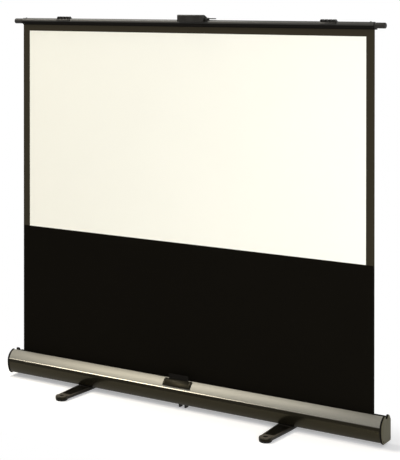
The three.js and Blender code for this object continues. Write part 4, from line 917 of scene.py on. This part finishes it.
class SCREEN_OT_feet(ScreenOperator, bpy.types.Operator):
    """Makes the swivelling feet, their pads, screws and pivots"""

    bl_idname = "screen.feet"
    bl_label = "Feet"

    def build(self, sizes):
        middle = (FOOT_X, 0, 0)
        ends = [(FOOT_X, way * FOOT_REACH, 0) for way in (-1, 1)]
        bar = joined(self.bar(middle, ends), *self.bosses(middle, ends))
        sole = FOOT_UNDER - 0.3 * MM
        profile = mm((0, 0), (25.2, 0), (27.2, 2), (27.5, 3), (26.6, 3.4), (26.6, 4.2), (27.5, 4.6))
        profile += [(27.5 * MM, sole), (PAD_SCREW_HOLE, sole), (PAD_SCREW_HOLE, 3 * MM), (0, 3 * MM)]
        rubber = lathe(profile, ends[0], Z_AXIS, sides=64)
        screw = screw_piece(ends[0], Z_AXIS, BOSS_TOP - 3.7 * MM, radius=3, length=14.4, head=7, height=2.4)
        low_head = mm((0, 8.5), (9.5, 8.5), (11, 9.8), (11, 11.5), (6, 11.5))
        high_head = mm((6, 24.3), (11, 24.3), (10.6, 25.6), (8, 27.3), (0, 27.3))
        pivot = lathe(low_head + high_head, middle, Z_AXIS, sides=40)
        for end, shift in (("right", 0), ("left", -2 * FOOT_X)):
            body = f"{end}_foot"
            foot = copied(bar, (shift, 0, 0))
            finished(foot, f"swivel_{body}", body, "gloss", "foot_plastic", f"foot_{end}")
            # Painted light: the top faces take the lighter tread finish, which also carries painted shade
            # towards the case
            painted(foot, "tread", lambda face: face.normal.z > FACING and face.center.z > FOOT_TOP - 1 * MM)
            rivet = copied(pivot, (shift, 0, 0))
            finished(rivet, f"{end}_swivel_rivet", BODY, "steel", "steel", f"foot_pivot_{end}")
            for place, way in (("front", 0), ("rear", 2 * FOOT_REACH)):
                where = f"{end}_{place}"
                pad = copied(rubber, (shift, way, 0))
                finished(pad, f"rubber_pad_{where}", body, "rubber", "rubber", f"foot_pad_{where}")
                head = copied(screw, (shift, way, 0))
                finished(head, f"pad_screw_{where}_head", body, "oxide", "steel", f"pad_screw_{where}")
        for spare in (bar, pivot, rubber, screw):
            bpy.data.objects.remove(spare)

    def bar(self, middle, ends):
        """The flat bar, with a channel in each half and room for the screws and the rivet."""
        wide = (FOOT_HIGH.x - FOOT_LOW.x) / 2
        neck = FOOT_REACH - 4 * MM
        waist = 36 * MM
        half = [
            (wide, 0),
            (wide, waist),
            (END_RADIUS - 0.4 * MM, neck),
            *arc(END_RADIUS, END_RADIUS, 0, FOOT_REACH, 0, 2 * QUARTER, steps=32),
            (0.4 * MM - END_RADIUS, neck),
            (-wide, waist),
        ]
        outline = [(FOOT_X + a, b) for a, b in half] + [(FOOT_X - a, -b) for a, b in half]
        bar = upright(outline, FOOT_UNDER, FOOT_TOP)
        rounded(bar, 1.4 * MM, angle=50)
        for way in (-1, 1):
            near, far = way * 40 * MM, way * (FOOT_REACH - 36 * MM)
            broad, narrow = wide - 8 * MM, 21 * MM
            corners = [(-broad, near), (broad, near), (narrow, far), (-narrow, far)]
            outline = [(FOOT_X + x, y) for x, y in corners]
            carved(bar, upright(outline, FOOT_TOP - 1.6 * MM, FOOT_TOP + 5 * MM))
        carved(bar, self.hub(middle))
        seat = BOSS_TOP - 4.2 * MM
        for end in ends:
            carved(bar, self.well(end, PAD_SCREW_HOLE, seat, 10 * MM))
        return bar

    def bosses(self, middle, ends):
        """A round boss with a screw's recess at each end, and a plain one at the pivot."""
        base = FOOT_UNDER + 2 * MM
        floor = BOSS_TOP - 4 * MM
        rim = END_RADIUS - 1 * MM
        profile = [
            (0, base),
            (rim, base),
            (rim, BOSS_TOP - 2 * MM),
            (rim - 0.6 * MM, BOSS_TOP - 0.6 * MM),
            (rim - 2 * MM, BOSS_TOP),
            (11 * MM, BOSS_TOP),
            (9.8 * MM, BOSS_TOP - 0.8 * MM),
            (9.6 * MM, floor),
            (0, floor),
        ]
        bosses = []
        for end in ends:
            boss = lathe(profile, end, Z_AXIS, sides=64)
            bosses.append(carved(boss, rod(PAD_SCREW_HOLE, end, Z_AXIS, 0, THROUGH, sides=16)))
        base = FOOT_TOP - 3 * MM
        rim = 21 * MM
        edge = 0.8 * MM
        profile = [(0, base), (rim, base), (rim, BOSS_TOP - edge), (rim - edge, BOSS_TOP), (0, BOSS_TOP)]
        boss = lathe(profile, middle, Z_AXIS, sides=64)
        bosses.append(carved(boss, self.hub(middle)))
        return bosses

    def hub(self, middle):
        """The hole that the pivot's rivet runs through, wide below for its head."""
        return self.well(middle, 13 * MM, FOOT_UNDER + 5 * MM, PIVOT_HOLE)

    def well(self, centre, below, step, above):
        """A round hole that changes its radius at a step."""
        profile = [(0, 0), (below, 0), (below, step), (above, step), (above, THROUGH), (0, THROUGH)]
        return lathe(profile, centre, Z_AXIS, sides=48)


class SCREEN_OT_support(ScreenOperator, bpy.types.Operator):
    """Makes the two-legged support under the middle of the case"""

    bl_idname = "screen.support"
    bl_label = "Middle support"

    def build(self, sizes):
        low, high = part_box("centre_support")
        plate = upright(rectangle(low.x, low.y, high.x, high.y), high.z - 3 * MM, high.z)
        hip, ankle = high.z - 2 * MM, low.z + 3 * MM
        outline = [
            (low.y, hip),
            (low.y + 1 * MM, ankle),
            (low.y + 4 * MM, low.z),
            (high.y - 4 * MM, low.z),
            (high.y - 1 * MM, ankle),
            (high.y, hip),
        ]
        legs = [along_x(outline, x - 2.5 * MM, x + 2.5 * MM) for x in (-15 * MM, 15 * MM)]
        united(plate, *legs)
        rounded(plate, 0.6 * MM, segments=2)
        finished(plate, "middle_support", BODY, "moulding", "black_plastic", "centre_support")


def bar_outline():
    """The bar's section: a slit tube on a keel, with a flange behind that carries a rail."""
    radius = BAR_RADIUS
    inner = radius - 3 * MM
    keel = 5 * MM
    drop = radius + 2 * MM
    flange, flange_top = -12 * MM, -10 * MM
    slit = 0.7 * MM
    rear = CASE_REAR - CLOTH_Y
    keel_turn = math.asin(keel / radius)
    slit_turn = math.asin(slit / inner)
    outline = [
        (slit, -drop),
        (keel, -drop),
        *arc(radius, radius, 0, 0, keel_turn - QUARTER, math.asin(flange / radius), steps=2),
        *rail(BAR_RAIL_Y, flange, -1),
        (rear, flange),
        (rear, flange_top),
        *arc(radius, radius, 0, 0, math.asin(flange_top / radius), 3 * QUARTER - keel_turn, steps=3 * ARC),
        (-keel, -drop),
        (-slit, -drop),
        *arc(inner, inner, 0, 0, 3 * QUARTER - slit_turn, slit_turn - QUARTER, steps=2 * ARC),
    ]
    return [(CLOTH_Y + y, BAR_Z + z) for y, z in outline]


class SCREEN_OT_bar(ScreenOperator, bpy.types.Operator):
    """Makes the top bar, its end plugs, their screws and the saddles"""

    bl_idname = "screen.bar"
    bl_label = "Top bar"

    def build(self, sizes):
        bar = along_x(bar_outline(), -BAR_HALF, BAR_HALF)
        carved(bar, self.screw_hole(-PLUG_SCREW_X), self.screw_hole(PLUG_SCREW_X))
        finished(bar, "bar_extrusion", "bar", "bar", "black_extrusion", "top_bar")
        # Painted shade: the lower front half of the bar takes the dark matt finish
        painted(bar, "recess", lambda face: face.center.z < BAR_Z and face.center.y < CLOTH_Y + BAR_RADIUS)
        plug = self.plug()
        place = (PLUG_SCREW_X, CLOTH_Y, BAR_Z)
        screw = screw_piece(place, Z_AXIS, BAR_RADIUS + 0.3 * MM, radius=1.8, length=8, head=4, height=2)
        for kind, piece, key, slot in (
            ("bar_plug", plug, "moulding", "black_plastic"),
            ("plug_screw", screw, "oxide", "steel"),
        ):
            for end, twin in both_ends(piece):
                finished(twin, f"{kind}_{end}_piece", "bar", key, slot, f"{kind}_{end}")
        for end in ("left", "right"):
            low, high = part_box(f"bar_saddle_{end}")
            saddle = self.saddle(low.x, high.x, sizes.humps)
            finished(saddle, f"saddle_{end}", "bar", "moulding", "black_plastic", f"bar_saddle_{end}")
        recoat("fabric_spline", "moulding")

    def screw_hole(self, x):
        return rod(2.1 * MM, (x, CLOTH_Y, BAR_Z), Z_AXIS, 0, 20 * MM, sides=16)

    def plug(self):
        """The right-hand plug: a spigot in the bar, a groove and a rounded end."""
        turns = (0, 0.26, 0.52, 0.79, 1.05, 1.31, QUARTER)
        end = [(7.5 + 5 * math.cos(a), 45 + 5 * math.sin(a)) for a in turns]
        neck = ((11.7, 0.3), (12.5, 0.3), (12.5, 2.6), (12.1, 3), (12.1, 3.8), (12.5, 4.2))
        profile = mm((0, -30), (11.7, -30), *neck, *end, (0, 50))
        plug = lathe([(r, BAR_HALF + d) for r, d in profile], BAR_MIDDLE, X_AXIS, sides=64)
        spline = (0, CLOTH_Y, BAR_Z - 9.2 * MM)
        room = rod(2.8 * MM, spline, X_AXIS, BAR_HALF - 40 * MM, BAR_HALF + 0.3 * MM, sides=16)
        return carved(plug, self.screw_hole(PLUG_SCREW_X), room)

    def saddle(self, start, end, count):
        """A shell over the bar with a row of humps, each with a round recess in front."""
        inner = BAR_RADIUS + 0.3 * MM
        outer = inner + 3 * MM
        back = inner + 4 * MM
        foot = -9.7 * MM
        outline = [
            *arc(outer, outer, 0, 0, 0, math.pi - math.asin(3 * MM / outer)),
            (1 * MM - inner, 2.4 * MM),
            (inner - 1 * MM, 1 * MM),
            (inner + 0.1 * MM, foot),
            (back, foot),
            (back, 0),
        ]
        block = along_x([(CLOTH_Y + y, BAR_Z + z) for y, z in outline], start, end)
        rounded(block, 0.7 * MM, segments=2)
        carved(block, self.core(inner, start, end))
        profile = mm((0, -10), (4.8, -10), (4.8, -15), (6.2, -15), (7, -14.2), (7, 8), (6, 9), (0, 9))
        humps = []
        for i in range(count):
            x = start + (end - start) / count * (i + 0.5)
            hump = lathe(profile, (x, CLOTH_Y, BAR_Z + BAR_RADIUS + 2 * MM), Y_AXIS, sides=32)
            humps.append(carved(hump, self.core(inner + 0.1 * MM, start, end)))
        return joined(block, *humps)

    def core(self, radius, start, end):
        return rod(radius, BAR_MIDDLE, X_AXIS, start - 5 * MM, end + 5 * MM, sides=60)


class SCREEN_OT_handle(ScreenOperator, bpy.types.Operator):
    """Makes the carrying handle and the release lever, and finishes the handle's base and the pins"""

    bl_idname = "screen.handle"
    bl_label = "Carrying handle"

    def build(self, sizes):
        self.grip()
        self.lever()
        for node, key in (("handle_base", "moulding"), ("handle_pin", "steel"), ("lever_pin", "steel")):
            recoat(node, key)

    def grip(self):
        low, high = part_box("carry_handle")
        bevel = 3 * MM
        back = low.y + 13 * MM
        outline = [
            (low.y, low.z),
            (low.y, high.z - bevel),
            (low.y + bevel, high.z),
            (back, high.z),
            (back, low.z),
        ]
        grip = along_x(outline, low.x, high.x)
        rounded(grip, 1.6 * MM)

        leg = 9 * MM
        eye = 7 * MM
        top = high.z - 0.6 * MM
        under = BAR_Z + BAR_RADIUS + 3 * MM
        pivot = Vector((0, high.y - eye, BAR_Z + BAR_RADIUS - 2 * MM))
        outline = [
            (back - 1 * MM, top),
            (back + 4 * MM, top),
            *arc(eye, eye, pivot.y, pivot.z, QUARTER / 2, -QUARTER, steps=16),
            (pivot.y - eye, pivot.z - 3.5 * MM),
            (pivot.y - eye - 3 * MM, under),
            (back - 1 * MM, under),
        ]
        legs = [rounded(along_x(outline, x, x + leg), 0.9 * MM, segments=2) for x in (low.x, high.x - leg)]
        united(grip, *legs)

        groove = rectangle(low.y - 4 * MM, low.z + 3.5 * MM, low.y + 0.7 * MM, high.z - 6.5 * MM)
        middle = (low.x + high.x) / 2
        grooves = []
        for side in (-1, 1):
            for i in range(-2, 3):
                x = middle + side * (high.x - low.x) / 4 + i * 6 * MM
                grooves.append(along_x(groove, x - 1.5 * MM, x + 1.5 * MM))
        pin_hole = rod(2.8 * MM, pivot, X_AXIS, low.x - 1 * MM, high.x + 1 * MM, sides=20)
        carved(grip, *grooves, pin_hole)
        finished(grip, "carrying_handle", "handle", "moulding", "black_plastic", "carry_handle")

    def lever(self):
        low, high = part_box("release_lever")
        knuckle = 2.6 * MM
        hinge = low.x + knuckle
        wide = 8.4 * MM
        side = [(hinge, wide), (hinge + 22 * MM, wide), (high.x - 2 * MM, 5 * MM), (high.x, 3 * MM)]
        outline = [(x, CLOTH_Y - y) for x, y in side] + [(x, CLOTH_Y + y) for x, y in reversed(side)]
        tab = upright(outline, high.z - 4.4 * MM, high.z)
        rounded(tab, 0.5 * MM, segments=2)
        united(tab, rod(knuckle, (hinge, CLOTH_Y, high.z - knuckle), Y_AXIS, -8.2 * MM, 8.2 * MM, sides=30))
        carved(tab, rod(1.7 * MM, (hinge, CLOTH_Y, high.z - 2.65 * MM), Y_AXIS, -12 * MM, 12 * MM, sides=17))
        finished(tab, "lever_tab", "lever", "oxide", "steel", "release_lever")


class SCREEN_OT_arms(ScreenOperator, bpy.types.Operator):
    """Makes the folding arms and their rivets, and finishes the brackets and shoes"""

    bl_idname = "screen.arms"
    bl_label = "Folding arms"

    def build(self, sizes):
        for level in ("lower", "upper"):
            self.arm(f"{level}_arm_front", f"{level}_front_arm", 1)
            self.arm(f"{level}_arm_rear", f"{level}_rear_arm", -1)
        rivets = {
            "rivet_lower_middle": "lower_front_arm",
            "rivet_upper_middle": "upper_front_arm",
            "rivet_elbow_left": "lower_rear_arm",
            "rivet_elbow_right": "lower_front_arm",
            "rivet_lower_bracket": BODY,
            "rivet_upper_bracket": "bar",
            "rivet_lower_shoe": "low_shoe",
            "rivet_upper_shoe": "high_shoe",
        }
        for node, body in rivets.items():
            self.rivet(node, body)
        for node in ("lower_bracket", "upper_bracket", "lower_shoe", "upper_shoe"):
            recoat(node, "steel")

    def arm(self, node, body, way):
        """A flat bar with round ends, rising to the right if way is 1 and to the left if it is -1."""
        low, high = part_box(node)
        half = 10 * MM
        left, right = low.x + half, high.x - half
        start, end = (left, right) if way > 0 else (right, left)
        start, end = Vector((start, 0, low.z + half)), Vector((end, 0, high.z - half))
        length = (end - start).length
        outline = [
            *arc(half, half, 0, 0, QUARTER, 3 * QUARTER, steps=16),
            *arc(half, half, length, 0, -QUARTER, QUARTER, steps=16),
        ]
        bar = along_y(outline, low.y, high.y)
        rounded(bar, 0.7 * MM, segments=2)
        for at in (0, length / 2, length):
            carved(bar, rod(3.3 * MM, (at, 0, 0), Y_AXIS, low.y - 1 * MM, high.y + 1 * MM, sides=20))
        turn = math.atan2(end.z - start.z, end.x - start.x)
        bar.data.transform(Matrix.Translation(start) @ Matrix.Rotation(-turn, 4, "Y"))
        finished(bar, f"{node}_bar", body, "arm", "arm_metal", node)

    def rivet(self, node, body):
        """A rivet along Y with a domed head at either end."""
        low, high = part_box(node)
        head = 2.2 * MM
        rim = 6 * MM
        shank = 3 * MM
        front, rear = low.y + head, high.y - head
        profile = [
            (0, low.y),
            *reversed(dome(rim, front, -head)),
            (shank, front),
            (shank, rear),
            *dome(rim, rear, head),
            (0, high.y),
        ]
        pin = lathe(profile, ((low.x + high.x) / 2, 0, (low.z + high.z) / 2), Y_AXIS, sides=32)
        finished(pin, f"{node}_pin", body, "steel", "steel", node)


class SCREEN_OT_roller(ScreenOperator, bpy.types.Operator):
    """Finishes the roller, its spring and the felt along the slot"""

    bl_idname = "screen.roller"
    bl_label = "Roller and felt"

    def build(self, sizes):
        for node in ("roller_plug_left", "roller_plug_right"):
            recoat(node, "moulding")
        recoat("roller_tube", "arm")
        for node in ("idle_axle", "spring_shaft", "torsion_spring"):
            recoat(node, "steel")
        low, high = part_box("slot_felt")
        leave_editing()
        bpy.ops.mesh.primitive_cube_add(size=1, location=(low + high) / 2)
        felt = bpy.context.object
        felt.scale = high - low
        place_origin(felt)
        # The felt is cut across, so that its rear face can be a little uneven.
        steps = 48
        for i in range(1, steps):
            edit(felt, everything=True)
            bpy.ops.mesh.bisect(plane_co=(low.x + (high.x - low.x) * i / steps, 0, 0), plane_no=X_AXIS)
        bpy.ops.object.mode_set(mode="OBJECT")
        for vertex in felt.data.vertices:
            if vertex.co.y > (low.y + high.y) / 2:
                vertex.co.y -= 0.2 * MM * (0.5 + 0.5 * math.sin(vertex.co.x * 190))
        finished(felt, "felt_strip", BODY, "felt", "black_cloth", "slot_felt")


class SCREEN_OT_stage(ScreenOperator, bpy.types.Operator):
    """Sets the floor, the lamps, the world and the camera"""

    bl_idname = "screen.stage"
    bl_label = "Stage"

    def build(self, sizes):
        self.floor()
        self.world()
        self.lamp("key", (-3.95, -2.5, 5.4), (-0.3, 0, 0.8), size=1.8, power=155, code="FFF6E4")
        self.lamp("fill", (2.8, -2.8, 1.4), (0.3, 0, 0.9), size=2.6, power=92, code="F8F9FF")
        self.lamp("overhead", (-1.7, -0.1, 4.2), (0.4, 0, 0), size=1.5, power=84, code="FFFBF2")
        # The camera is fitted to the photograph; its shift is the photograph's framing.
        bpy.ops.object.camera_add(location=(3.142, -5.214, 1.870))
        camera = bpy.context.object
        camera.rotation_euler = (math.radians(89.54), 0, math.radians(33.25))
        camera.data.lens = 104.9
        camera.data.shift_x = 0.146
        camera.data.shift_y = -0.485
        bpy.context.scene.camera = camera
        bpy.context.scene.view_settings.view_transform = "Standard"

    def floor(self):
        leave_editing()
        bpy.ops.mesh.primitive_plane_add(size=60)
        floor = bpy.context.object
        floor.name = "studio_floor"
        # Painted board: matt white, lifted a little near the screen and plain white farther off
        board = surface("board", "matt_white_board", linear("F2F2F2"), roughness=0.9, specular=0.0)
        paint, shader = board[:2]
        place = add_node(paint, "ShaderNodeTexCoord")
        squeezed = add_node(
            paint,
            "ShaderNodeMapping",
            links={"Vector": place.outputs["Object"]},
            Scale=(0.55, 1.6, 1),
            Location=(0, 0.25, 0),
        )
        distance = add_node(
            paint,
            "ShaderNodeVectorMath",
            settings={"operation": "LENGTH"},
            links={"Vector": squeezed.outputs["Vector"]},
        )
        fade = add_node(
            paint,
            "ShaderNodeMapRange",
            settings={"interpolation_type": "SMOOTHSTEP"},
            links={"Value": distance.outputs["Value"]},
            From_Min=0.6,
            From_Max=0.95,
        )
        matt = shader.outputs["BSDF"]
        lift = add_node(paint, "ShaderNodeEmission", Strength=0.3)
        lifted = add_node(paint, "ShaderNodeAddShader", links={0: matt, 1: lift.outputs["Emission"]})
        plain = add_node(paint, "ShaderNodeEmission", Strength=1.0)
        seen = self.mixed(paint, fade.outputs["Result"], lifted.outputs["Shader"], plain.outputs["Emission"])
        mix = self.mixed(paint, self.seen_rays(paint), matt, seen)
        paint.node_tree.links.new(mix, paint.node_tree.nodes["Material Output"].inputs["Surface"])
        floor.data.materials.append(paint)

    def mixed(self, holder, share, first, second):
        mix = add_node(holder, "ShaderNodeMixShader", links={0: share, 1: first, 2: second})
        return mix.outputs["Shader"]

    def seen_rays(self, holder):
        """One where the camera, a gloss or a clear surface looks, else nought."""
        path = add_node(holder, "ShaderNodeLightPath")
        seen = path.outputs["Is Camera Ray"]
        for ray in ("Is Glossy Ray", "Is Transmission Ray"):
            either = {0: seen, 1: path.outputs[ray]}
            seen = add_node(holder, "ShaderNodeMath", {"operation": "MAXIMUM"}, either).outputs["Value"]
        return seen

    def world(self):
        world = bpy.data.worlds.new("studio")
        world.use_nodes = True
        bpy.context.scene.world = world
        tree = world.node_tree
        dim = tree.nodes["Background"]
        dim.inputs["Color"].default_value = (1, 1, 1, 1)
        dim.inputs["Strength"].default_value = 0.3
        white = add_node(world, "ShaderNodeBackground", Strength=1.0, Color=(1, 1, 1, 1))
        mix = self.mixed(world, self.seen_rays(world), dim.outputs["Background"], white.outputs["Background"])
        tree.links.new(mix, tree.nodes["World Output"].inputs["Surface"])

    def lamp(self, name, place, target, size, power, code):
        bpy.ops.object.light_add(type="AREA", location=place)
        lamp = bpy.context.object
        lamp.name = name
        lamp.data.shape = "DISK"
        lamp.data.size = size
        lamp.data.energy = power
        lamp.data.color = linear(code)
        lamp.rotation_euler = (Vector(target) - Vector(place)).to_track_quat("-Z", "Y").to_euler()


OPERATORS = (
    SCREEN_OT_finishes,
    SCREEN_OT_cloth,
    SCREEN_OT_case,
    SCREEN_OT_catch,
    SCREEN_OT_caps,
    SCREEN_OT_feet,
    SCREEN_OT_support,
    SCREEN_OT_bar,
    SCREEN_OT_handle,
    SCREEN_OT_arms,
    SCREEN_OT_roller,
    SCREEN_OT_stage,
)


class SCREEN_PT_panel(bpy.types.Panel):
    """Lists the screen's pieces, sizes and colours"""

    bl_idname = "SCREEN_PT_panel"
    bl_label = "Projector Screen"
    bl_space_type = "VIEW_3D"
    bl_region_type = "UI"
    bl_category = "Screen"

    def draw(self, context):
        layout = self.layout
        for group in (context.scene.screen_sizes, context.scene.screen_colours):
            for key in group.__annotations__:
                layout.prop(group, key)
        for operator in OPERATORS:
            layout.operator(operator.bl_idname)


CLASSES = (ScreenSizes, ScreenColours, *OPERATORS, SCREEN_PT_panel)


def register():
    for item in CLASSES:
        bpy.utils.register_class(item)
    bpy.types.Scene.screen_sizes = PointerProperty(type=ScreenSizes)
    bpy.types.Scene.screen_colours = PointerProperty(type=ScreenColours)


def unregister():
    del bpy.types.Scene.screen_colours
    del bpy.types.Scene.screen_sizes
    for item in reversed(CLASSES):
        bpy.utils.unregister_class(item)


def main():
    register()
    for operator in OPERATORS:
        area, name = operator.bl_idname.split(".")
        getattr(getattr(bpy.ops, area), name)()


if __name__ == "__main__":
    main()
